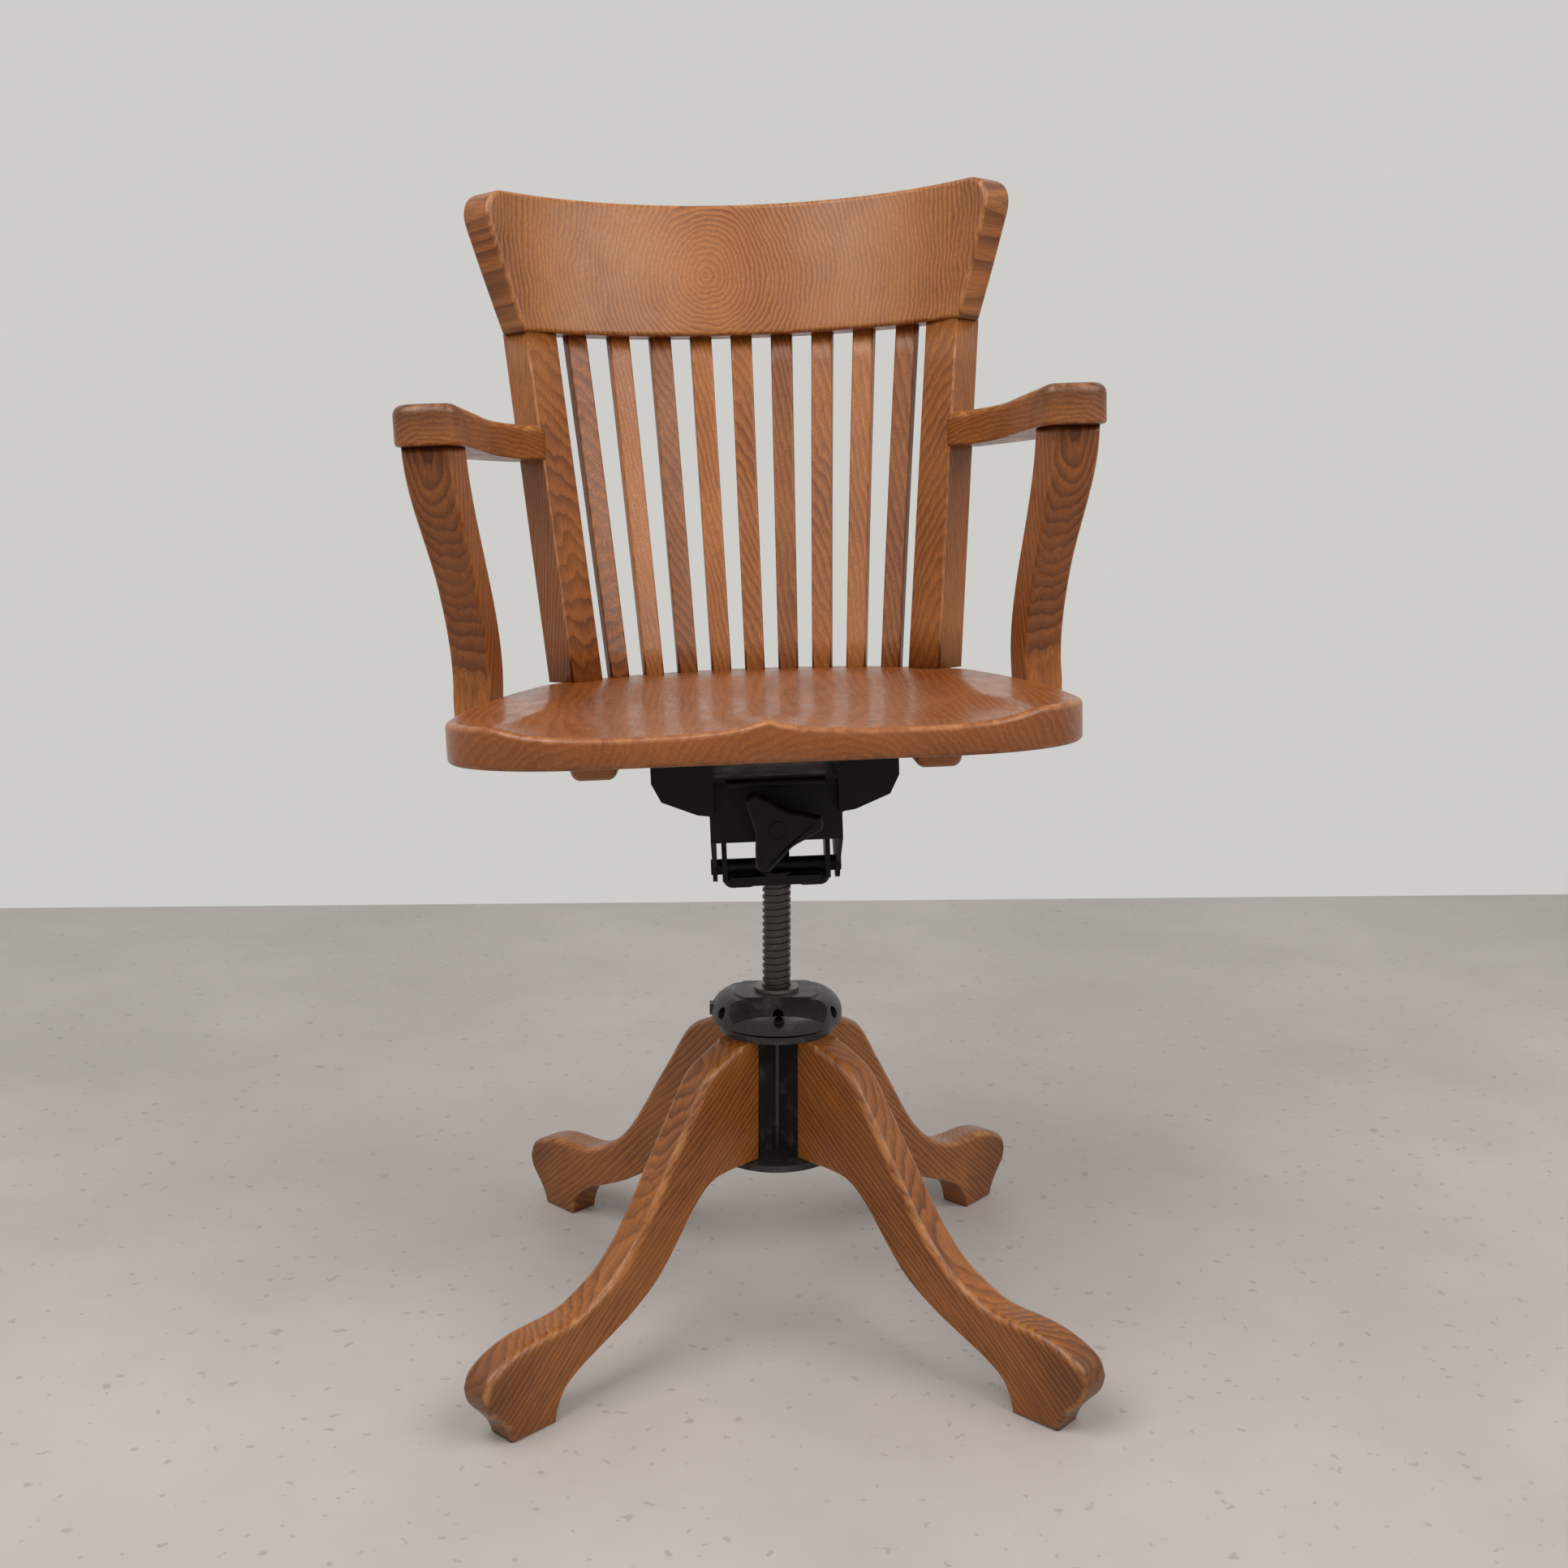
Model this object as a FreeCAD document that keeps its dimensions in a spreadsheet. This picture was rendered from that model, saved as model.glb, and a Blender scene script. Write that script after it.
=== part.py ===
import FreeCAD, Part
import math
import os

import Sketcher
from FreeCAD import Placement, Rotation, Vector

# Bankers swivel chair: oak saddle seat, slatted back and curved arms on a tilting iron,
# carried by a height screw in a four-legged oak base.
# Frame: origin on the floor on the screw's axis, +Z up, the sitter faces -Y, +X is the viewer's right.

DIMENSIONS = [
    # base legs
    ("leg_reach", 319, "radius of the outer end of a foot's sole"),
    ("sole_length", 42, "flat sole of a foot, along the leg"),
    ("toe_overhang", 27, "how far the toe stands out past the sole"),
    ("toe_height", 79, "top of the toe above the floor"),
    ("leg_thickness", 32, "sawn thickness of a leg"),
    ("leg_hub_z", 151, "underside of the legs at the column"),
    ("leg_hub_height", 111, "height of a leg where it meets the column"),
    ("hub_reach", 40, "inner ends of the legs from the column's middle"),
    ("rib_width", 22, "column's ribs behind the legs' ends"),
    # column and swivel head
    ("column_radius", 17, "outside of the column tube"),
    ("column_wall", 3.4, "wall of the column tube"),
    ("column_neck", 19.5, "column above the flange, inside the dome"),
    ("neck_groove", 1.6, "depth of the lock bolt's groove in the column"),
    ("foot_plate_radius", 56, "plate under the legs"),
    ("foot_plate_thickness", 6, "plate under the legs"),
    ("flange_radius", 52, "plate over the legs"),
    ("flange_thickness", 6, "plate over the legs"),
    ("ball_radius", 3, "swivel bearing ball"),
    ("ball_count", 14, "swivel bearing balls"),
    ("ball_circle", 37, "radius of the ring of balls"),
    ("race_depth", 1, "depth of the ball tracks"),
    ("race_thickness", 3.5, "upper race"),
    ("dome_radius", 59, "rim of the iron dome"),
    ("dome_rim", 4.5, "upright edge of the dome's rim"),
    ("dome_top_radius", 41, "flat top of the dome"),
    ("dome_height", 25.5, "dome from rim to top"),
    ("dome_wall", 8, "wall of the dome at its rim"),
    ("facet_top", 26, "flat sides of the dome from its middle, at the top"),
    ("facet_foot", 44, "flat sides of the dome from its middle, at their foot"),
    ("facet_ledge", 6.5, "foot of the flat sides above the dome's lower edge"),
    ("dome_hole_radius", 5, "ring of holes in the dome"),
    ("lock_rise", 8.5, "lock bolt above the dome's lower edge"),
    ("dome_hole_rise", 12, "ring of holes above the dome's lower edge"),
    ("lock_bolt_radius", 4.6, "square-headed lock bolt"),
    ("lock_head", 10, "width of the lock bolt's head"),
    ("lock_head_thickness", 4.6, "lock bolt's head"),
    ("nut_radius", 20, "height nut in the dome"),
    ("nut_length", 10, "height nut"),
    ("washer_radius", 20, "thrust washer on the dome"),
    ("washer_thickness", 3, "thrust washer"),
    # screw
    ("screw_radius", 12.7, "height screw over the thread"),
    ("thread_depth", 1.4, "depth of the thread"),
    ("thread_pitch", 6.35, "one turn of the thread"),
    ("screw_shown", 96.5, "screw between the washer and the yoke"),
    ("screw_turns", 38, "turns of thread on the screw"),
    ("running_gap", 0.05, "radial gap of shafts in their holes"),
    ("seat_gap", 0.3, "gap left between touching curved faces"),
    # yoke and tilt rod
    ("yoke_half_width", 48, "outside of the yoke's ears"),
    ("ear_thickness", 4.5, "yoke's ears"),
    ("ear_radius", 14, "rounded end of the ears and cheeks"),
    ("ear_rise", 36, "top of the ears above the tilt rod"),
    ("yoke_knuckle", 9, "radius of the rounded swellings under the yoke"),
    ("yoke_foot", 8, "thickness of the yoke's cross piece"),
    ("yoke_depth", 32, "yoke, front to back"),
    ("rod_radius", 7, "tilt rod"),
    ("rod_end", 1.5, "tilt rod's end outside a cheek"),
    ("rod_rise", 15, "tilt rod's axis above the yoke's underside"),
    ("tongue_width", 26, "upright that carries the spring's rear seat"),
    ("tongue_thickness", 6, "upright that carries the spring's rear seat"),
    ("tongue_y", 22, "front face of the upright"),
    # seat iron
    ("cheek_gap", 4.5, "space between an ear and the cheek outside it"),
    ("plate", 4, "thickness of the pressed steel"),
    ("cheek_front", 62, "front edge of a cheek before the rod"),
    ("cheek_back", 78, "rear edge of a cheek behind the rod"),
    ("box_half_width", 41.5, "flanges of the spring box, outside"),
    ("box_front", 62, "front of the spring box before the rod"),
    ("box_low", 33, "lower edge of the spring box above the rod"),
    ("box_high", 92, "top of the spring box above the rod"),
    ("lip_forward", 80, "rolled lip before the rod"),
    ("lip_radius", 4, "rolled lip"),
    ("wing_reach", 104, "outer end of a wing from the middle"),
    ("wing_rise", 26, "lower edge of a wing above the spring box's lower edge"),
    ("pad_depth", 42, "wing pad, front to back"),
    ("pad_lap", 6, "how far a pad stands out past its wing"),
    ("rear_wing_y", 70, "rear wings behind the rod"),
    # spring and knob
    ("spring_z", 50, "spring's axis above the rod"),
    ("spring_radius", 15, "spring's mean radius"),
    ("spring_wire", 2.6, "radius of the spring's wire"),
    ("spring_turns", 4, "turns of the spring"),
    ("cup_radius", 19, "spring cups"),
    ("cup_thickness", 4, "spring cups"),
    ("knob_screw_radius", 6, "tension screw"),
    ("knob_reach", 37, "lobes of the star knob"),
    ("knob_hub", 14, "middle of the star knob"),
    ("knob_dip", 19, "hollow flanks of the star knob from its middle"),
    ("knob_thickness", 13, "star knob"),
    ("knob_stand", 24, "space between the knob and its nut"),
    ("plate_nut_width", 24, "nut on the spring box, over the flats"),
    ("plate_nut_length", 8, "nut on the spring box"),
    # seat
    ("iron_height", 123.7, "underside of the seat above the tilt rod"),
    ("seat_thickness", 33, "seat"),
    ("seat_half_width", 250, "seat at its widest"),
    ("seat_front", 235, "seat's front edge before the screw"),
    ("seat_back", 250, "seat's rear edge behind the screw"),
    ("seat_straight", 140, "half of the straight front edge"),
    ("seat_corner", 85, "depth of the rounded front corners"),
    ("shoulder_x", 206, "where the rounded back of the seat begins"),
    ("shoulder_y", 138, "where the rounded back of the seat begins"),
    ("seat_round", 4, "rounding of the seat's lower edge"),
    ("dish_depth", 14, "hollow of the seat"),
    ("front_dish_depth", 10, "hollow at the front edge"),
    ("dish_half_width", 178, "hollow between the side flats"),
    ("front_dish_half_width", 205, "hollow at the front edge"),
    ("dish_back", 196, "rear end of the hollow"),
    ("dish_run", 150, "length over which the hollow deepens at each end"),
    ("pommel_width", 28, "spread of the raised middle at the front"),
    ("pommel_length", 190, "raised middle, front to back"),
    ("seat_shift", -8, "the seat's middle, sideways from the screw"),
    ("side_lean", 2, "sideways lean of everything above the screw, degrees"),
    ("rest_slope", 1.15, "backward slope of the seat at rest, degrees"),
    ("cleat_x", 138, "cleats from the seat's middle"),
    ("cleat_width", 37, "cleat"),
    ("cleat_thickness", 22, "cleat"),
    ("cleat_front", 150, "front end of a cleat before the screw"),
    ("cleat_back", 170, "rear end of a cleat behind the screw"),
    # back
    ("back_height", 339, "underside of the crest rail above the seat"),
    ("stile_foot_x", 177.4, "front edge of a stile at the seat"),
    ("stile_foot_y", 150, "front edge of a stile at the seat"),
    ("stile_top_x", 211, "front edge of a stile under the crest"),
    ("stile_top_y", 217, "front edge of a stile under the crest"),
    ("stile_inner", 40, "inner face of a stile"),
    ("stile_outer", 36, "outer face of a stile"),
    ("stile_turn", 47, "turn of a stile in plan, degrees"),
    ("slat_count", 9, "slats"),
    ("slat_foot_pitch", 34.2, "spacing of the slats at the seat"),
    ("slat_top_pitch", 42.2, "spacing of the slats under the crest"),
    ("slat_foot_width", 20, "slat at the seat"),
    ("slat_top_width", 22, "slat under the crest"),
    ("slat_thickness", 12, "slat"),
    ("slat_bow", 5, "backward bow of the slats at half height"),
    ("slat_foot_y", 231, "middle slat at the seat"),
    ("slat_foot_arc", 340, "radius of the row of slats at the seat"),
    ("crest_y", 300, "front of the crest rail at its middle, lower edge"),
    ("crest_arc", 300, "front face of the crest rail, radius"),
    ("crest_thickness", 36, "crest rail"),
    ("crest_height", 134, "crest rail"),
    ("crest_foot_half", 212, "front face's half width at the lower edge"),
    ("crest_top_half", 245, "front face's half width at the upper edge"),
    ("crest_rake", 11, "backward rake of the crest rail, degrees"),
    ("crest_corner", 34, "rounding of the crest's upper corners"),
    ("slat_setback", 20, "middle of a slat behind the crest's front"),
    # arms
    ("arm_height", 214, "underside of the arms above the seat"),
    ("arm_thickness", 33, "arm"),
    ("arm_front", 98, "front end of an arm before the screw"),
    ("arm_width", 54, "arm"),
    ("arm_lip", 10, "inner edge of an arm inside its post"),
    ("arm_outer", 288, "outer edge of an arm from the middle"),
    ("arm_round", 8, "rounding of an arm's upper edge"),
    ("arm_nose", 17, "rounding of an arm's front corners in plan"),
    ("post_foot_x", 241, "front edge of a post at the seat"),
    ("post_foot_y", 30, "front edge of a post at the seat"),
    ("post_top_y", -84, "front edge of a post under the arm"),
    ("post_foot_width", 35, "post at the seat"),
    ("post_top_width", 42, "post under the arm"),
    ("post_depth", 38, "post, front to back"),
    ("post_turn", 12, "turn of a post in plan, degrees"),
    ("post_waist", 3, "inward curve of a post at mid height"),
    # fixings
    ("wood_screw_radius", 2.5, "shank of the wood screws"),
    ("wood_screw_head", 4.5, "head of the wood screws"),
    ("post_screw_reach", 46, "post screws inward from the post's front edge"),
    ("bolt_radius", 3, "shank of the bolts"),
    ("bolt_in_seat", 13, "how far the bolts reach into the seat"),
    ("bolt_head", 6.5, "head of the bolts"),
    ("bolt_head_height", 4, "head of the bolts"),
    ("drill_gap", 0.1, "how much wider a drilled hole is than its screw"),
]

# Heights that follow from the driving dimensions, from the floor up.
DERIVED = {
    "flange_z": "(leg_hub_z + leg_hub_height)",
    "race_z": "(flange_z + flange_thickness + 2 * ball_radius - 2 * race_depth)",
    "dome_top_z": "(race_z + dome_height)",
    "washer_top_z": "(dome_top_z + washer_thickness + seat_gap)",
    "yoke_z": "(washer_top_z + screw_shown)",
    "rod_z": "(yoke_z + rod_rise)",
    "seat_z": "(rod_z + iron_height + seat_thickness)",
    "arm_inner": "(arm_outer - arm_width)",
    "post_top_x": "(arm_inner + arm_lip)",
}

doc = FreeCAD.newDocument("bankers_swivel_chair")
sheet = doc.addObject("Spreadsheet::Sheet", "Sizes")
for row, (alias, value, note) in enumerate(DIMENSIONS, start=1):
    sheet.set(f"A{row}", note)
    sheet.set(f"B{row}", str(value))
    sheet.setAlias(f"B{row}", alias)
doc.recompute()

UP = Vector(0, 0, 1)
X_AXIS = Vector(1, 0, 0)
Y_AXIS = Vector(0, 1, 0)
SIDES = (("left", -1), ("right", 1))
nodes = []


# helpers

def with_sheet_names(formula):
    """A formula of sizes, with each name given as its cell in the sheet."""
    tokens = split_words(formula)
    while any(token in DERIVED for token in tokens):
        tokens = split_words("".join(DERIVED.get(token, token) for token in tokens))
    aliases = {alias for alias, _, _ in DIMENSIONS}
    return "".join("Sizes." + token if token in aliases else token for token in tokens)


def size(formula):
    """The value of a size, or of a formula of sizes."""
    return float(sheet.evalExpression(with_sheet_names(formula)))


def keep(obj, label):
    """Registers a finished sub-part under its node name."""
    obj.Label = label
    nodes.append(obj)
    return obj


def bind(obj, prop, formula):
    """Binds a property to a formula of sizes."""
    obj.setExpression(prop, with_sheet_names(formula))


def split_words(text):
    """Splits text into words and the marks between them; dotted names stay whole."""
    tokens = [""]
    for c in text:
        inside = c.isalnum() or c in "_."
        was_inside = tokens[-1] != "" and (tokens[-1][-1].isalnum() or tokens[-1][-1] in "_.")
        if inside == was_inside:
            tokens[-1] += c
        else:
            tokens.append(c)
    return tokens


def place_by(obj, x, y, z, rotation=None):
    """Places an object at a point given as three formulas."""
    if rotation is not None:
        obj.Placement = Placement(Vector(), rotation)
    bind(obj, "Placement.Base.x", x)
    bind(obj, "Placement.Base.y", y)
    bind(obj, "Placement.Base.z", z)
    return obj


def cylinder(name, radius, height, x="0", y="0", z="0", axis=UP):
    obj = doc.addObject("Part::Cylinder", name)
    bind(obj, "Radius", radius)
    bind(obj, "Height", height)
    return place_by(obj, x, y, z, Rotation(UP, axis))


def box(name, length, width, height, x, y, z, rotation=None):
    """A box from its low corner, or turned about that corner."""
    obj = doc.addObject("Part::Box", name)
    bind(obj, "Length", length)
    bind(obj, "Width", width)
    bind(obj, "Height", height)
    return place_by(obj, x, y, z, rotation)


def fuse(name, parts):
    obj = doc.addObject("Part::MultiFuse", name)
    obj.Shapes = parts
    obj.Refine = True
    return obj


def cut(name, base, tools):
    obj = doc.addObject("Part::Cut", name)
    obj.Base = base
    obj.Tool = tools[0] if len(tools) == 1 else fuse(name + "_tools", tools)
    obj.Refine = True
    return obj


def group(name, parts):
    obj = doc.addObject("Part::Compound", name)
    obj.Links = parts
    return obj


def feature(name, shape):
    obj = doc.addObject("Part::Feature", name)
    obj.Shape = shape
    return obj


def origin_part(body, role):
    """One of a body's own origin planes or axes."""
    return next(f for f in body.Origin.OriginFeatures if f.Role == role)


def sketch_on(body, role, name, offset=None):
    """A sketch on one of the body's own origin planes, moved along its normal by a formula."""
    sketch = body.newObject("Sketcher::SketchObject", name)
    sketch.AttachmentSupport = [(origin_part(body, role), "")]
    sketch.MapMode = "FlatFace"
    if offset is not None:
        bind(sketch, "AttachmentOffset.Base.z", offset)
    return sketch


def add_outline(sketch, corners):
    """A closed outline through points; a point given as (mid, end) makes an arc."""
    start = Vector(*corners[0], 0)
    here = start
    for step in corners[1:] + [corners[0]]:
        if isinstance(step[0], tuple):
            middle = Vector(*step[0], 0)
            there = Vector(*step[1], 0)
            sketch.addGeometry(Part.Arc(here, middle, there), False)
        else:
            there = Vector(*step, 0)
            if there.distanceToPoint(here) > 1e-6:
                sketch.addGeometry(Part.LineSegment(here, there), False)
        here = there


def add_spline(sketch, points):
    curve = Part.BSplineCurve()
    curve.interpolate([Vector(x, y, 0) for x, y in points])
    sketch.addGeometry(curve, False)


def pad(body, sketch, name, length, midplane=False):
    feat = body.newObject("PartDesign::Pad", name)
    feat.Profile = sketch
    feat.Midplane = midplane
    bind(feat, "Length", length)
    return feat


def round_edges(body, base, name, edges, radius):
    feat = body.newObject("PartDesign::Fillet", name)
    feat.Base = (base, edges)
    bind(feat, "Radius", radius)
    return feat


def edge_names(shape, wanted):
    """Names of the shape's edges for which wanted(edge) is true."""
    return [f"Edge{i}" for i, edge in enumerate(shape.Edges, start=1) if wanted(edge)]


def loft_body(name, sections, ruled=False):
    """A body lofted through level sections, each a height formula and its corner points."""
    body = doc.addObject("PartDesign::Body", name)
    sketches = []
    for i, (height, corners) in enumerate(sections):
        sketch = sketch_on(body, "XY_Plane", f"{name}_section_{i}", height)
        add_outline(sketch, corners)
        sketches.append(sketch)
    loft = body.newObject("PartDesign::AdditiveLoft", name + "_loft")
    loft.Profile = sketches[0]
    loft.Sections = sketches[1:]
    loft.Ruled = ruled
    return body


def turned(angle, x, y):
    """Turns a plan vector by an angle in degrees."""
    a = math.radians(angle)
    return (x * math.cos(a) - y * math.sin(a), x * math.sin(a) + y * math.cos(a))


def smooth(t):
    """An S-shaped run from 0 to 1."""
    t = min(max(t, 0.0), 1.0)
    return t * t * (3 - 2 * t)


yoke_z = size("yoke_z")
rod_z = size("rod_z")
seat_z = size("seat_z")

# Everything above the screw leans a little to one side, about the yoke's foot.
# The seat side also slopes back a little, about the tilt rod.
lean_centre = Vector(0, 0, yoke_z)
rod_centre = Vector(0, 0, rod_z)
LEANING = Placement(Vector(), Rotation(Y_AXIS, -size("side_lean")), lean_centre)
SLOPING = Placement(Vector(), Rotation(X_AXIS, -size("rest_slope")), rod_centre)
IRON_FRAME = LEANING * SLOPING
WOOD_FRAME = IRON_FRAME * Placement(Vector(size("seat_shift"), 0, 0), Rotation())


def in_frame(obj, frame):
    """Moves a finished piece from its upright drawing position into its leaning frame."""
    obj.Placement = frame * obj.Placement
    return obj


# base: four sawn legs round an iron column

def leg_body(label, azimuth):
    """One leg, drawn in the XZ plane with X as the radius, then turned to its azimuth."""
    sole_out = size("leg_reach")
    sole_in = sole_out - size("sole_length")
    toe = sole_out + size("toe_overhang")
    toe_top = size("toe_height")
    low = size("leg_hub_z")
    high = low + size("leg_hub_height")
    inner = size("hub_reach")
    plate_edge = size("foot_plate_radius") + 24
    flange_edge = size("flange_radius") + 3
    run = sole_in - plate_edge
    drop = low - 2
    back_run = toe - 86 - flange_edge
    back_drop = high - toe_top

    body = doc.addObject("PartDesign::Body", label)
    sketch = sketch_on(body, "XZ_Plane", label + "_side")
    top = [
        (flange_edge, high),
        (flange_edge + 0.14 * back_run, high - 0.035 * back_drop),
        (flange_edge + 0.32 * back_run, high - 0.20 * back_drop),
        (flange_edge + 0.48 * back_run, high - 0.46 * back_drop),
        (flange_edge + 0.66 * back_run, high - 0.76 * back_drop),
        (flange_edge + 0.84 * back_run, high - 0.94 * back_drop),
        (toe - 86, toe_top - 1),
        (toe - 50, toe_top - 1),
        (toe - 24, toe_top - 8),
        (toe - 6, toe_top - 19),
        (toe, toe_top - 31),
    ]
    toe_under = [
        (toe, toe_top - 31),
        (toe - 9, toe_top - 50),
        (toe - 20, toe_top - 67),
        (sole_out, 0),
    ]
    under = [
        (sole_in, 0),
        (sole_in - 3, 14),
        (sole_in - 13, 27),
        (sole_in - 0.27 * run, 0.33 * drop),
        (sole_in - 0.50 * run, 0.51 * drop),
        (sole_in - 0.68 * run, 0.70 * drop),
        (sole_in - 0.84 * run, 0.90 * drop),
        (plate_edge, low),
    ]
    add_spline(sketch, top)
    add_spline(sketch, toe_under)
    sketch.addGeometry(Part.LineSegment(Vector(sole_out, 0, 0), Vector(sole_in, 0, 0)), False)
    add_spline(sketch, under)
    hub_end = [(plate_edge, low), (inner, low), (inner, high), (flange_edge, high)]
    for a, b in zip(hub_end, hub_end[1:]):
        sketch.addGeometry(Part.LineSegment(Vector(*a, 0), Vector(*b, 0)), False)
    pad(body, sketch, label + "_sawn", "leg_thickness", midplane=True)
    body.Placement = Placement(Vector(), Rotation(UP, azimuth))
    return body


LEGS = (("leg_front_left", 225), ("leg_front_right", 315), ("leg_back_left", 135), ("leg_back_right", 45))
LEG_SCREW_X = "(hub_reach + 6)"
LOW_SCREW_X = "(foot_plate_radius - 8)"


def screw_places(azimuths, radius):
    """Plan formulas for points at a radius on each azimuth."""
    return [(f"{radius} * cos({a} deg)", f"{radius} * sin({a} deg)", a) for a in azimuths]


def build_base():
    azimuths = [azimuth for _, azimuth in LEGS]
    upper_screws = []
    lower_screws = []
    for x, y, a in screw_places(azimuths, LEG_SCREW_X):
        head = "flange_z + flange_thickness - 3"
        shank = cylinder(f"flange_screw_shank_{a}", "wood_screw_radius", "30 + 3", x, y, f"{head} - 30")
        top = cylinder(f"flange_screw_head_{a}", "wood_screw_head", "2.6", x, y, head)
        upper_screws.append(fuse(f"flange_screw_{a}", [shank, top]))
    for x, y, a in screw_places(azimuths, LOW_SCREW_X):
        base = "leg_hub_z - foot_plate_thickness"
        shank = cylinder(f"plate_screw_shank_{a}", "wood_screw_radius", "36", x, y, base)
        top = cylinder(f"plate_screw_head_{a}", "wood_screw_head", "2.4", x, y, f"{base} - 2.4")
        lower_screws.append(fuse(f"plate_screw_{a}", [shank, top]))
    keep(group("flange_screws", upper_screws), "flange_screws")
    keep(group("plate_screws", lower_screws), "plate_screws")

    for label, azimuth in LEGS:
        body = leg_body(label + "_blank", azimuth)
        upper = cylinder(
            label + "_upper_drill", "wood_screw_radius + drill_gap", "31",
            f"{LEG_SCREW_X} * cos({azimuth} deg)", f"{LEG_SCREW_X} * sin({azimuth} deg)", "flange_z - 31",
        )
        lower = cylinder(
            label + "_lower_drill", "wood_screw_radius + drill_gap", "31",
            f"{LOW_SCREW_X} * cos({azimuth} deg)", f"{LOW_SCREW_X} * sin({azimuth} deg)", "leg_hub_z",
        )
        keep(cut(label, body, [upper, lower]), label)

    # The column runs from the foot plate up into the dome; its neck has the lock bolt's groove.
    # Four ribs fill the space between it and the ends of the legs.
    column_length = "foot_plate_thickness + leg_hub_height + flange_thickness + column_neck"
    column_z = "leg_hub_z - foot_plate_thickness"
    tube = cylinder("column_tube", "column_radius", column_length, z=column_z)
    hollow = cylinder("column_hollow", "column_radius - column_wall", column_length, z=column_z)
    groove_z = "race_z + lock_rise - lock_bolt_radius - 0.6"
    groove_height = "2 * lock_bolt_radius + 1.2"
    groove_rim = cylinder("groove_rim", "column_radius + 5", groove_height, z=groove_z)
    groove_core = cylinder("groove_core", "column_radius - neck_groove", groove_height, z=groove_z)
    groove = cut("neck_groove_ring", groove_rim, [groove_core])
    ribs = []
    for a in azimuths:
        x = f"rib_width / 2 * sin({a} deg)"
        y = f"-rib_width / 2 * cos({a} deg)"
        ribs.append(box(
            f"column_rib_{a}", "hub_reach", "rib_width", "leg_hub_height", x, y, "leg_hub_z", Rotation(UP, a),
        ))
    keep(cut("column", fuse("column_cast", [tube] + ribs), [hollow, groove]), "column")

    for label, radius, z, thickness, screw_x in (
        ("foot_plate", "foot_plate_radius", "leg_hub_z - foot_plate_thickness", "foot_plate_thickness", LOW_SCREW_X),
        ("leg_flange", "flange_radius", "flange_z", "flange_thickness", LEG_SCREW_X),
    ):
        disc = cylinder(label + "_disc", radius, thickness, z=z)
        tools = [cylinder(label + "_bore", "column_radius + running_gap", thickness, z=z)]
        for x, y, a in screw_places(azimuths, screw_x):
            hole = cylinder(f"{label}_hole_{a}", "wood_screw_radius + drill_gap", thickness, x, y, z)
            tools.append(hole)
            if label == "leg_flange":
                sink_z = "flange_z + flange_thickness - 3"
                tools.append(cylinder(f"{label}_sink_{a}", "wood_screw_head + drill_gap", "4", x, y, sink_z))
        if label == "leg_flange":
            tools.append(ball_track("lower_track", "flange_z + flange_thickness + ball_radius - race_depth"))
        keep(cut(label, disc, tools), label)


def ball_track(name, z):
    """The ring-shaped groove that the bearing balls run in."""
    track = doc.addObject("Part::Torus", name)
    bind(track, "Radius1", "ball_circle")
    bind(track, "Radius2", "ball_radius + seat_gap / 3")
    return place_by(track, "0", "0", z)


# swivel head: dome, height nut, upper race and lock bolt

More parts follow.
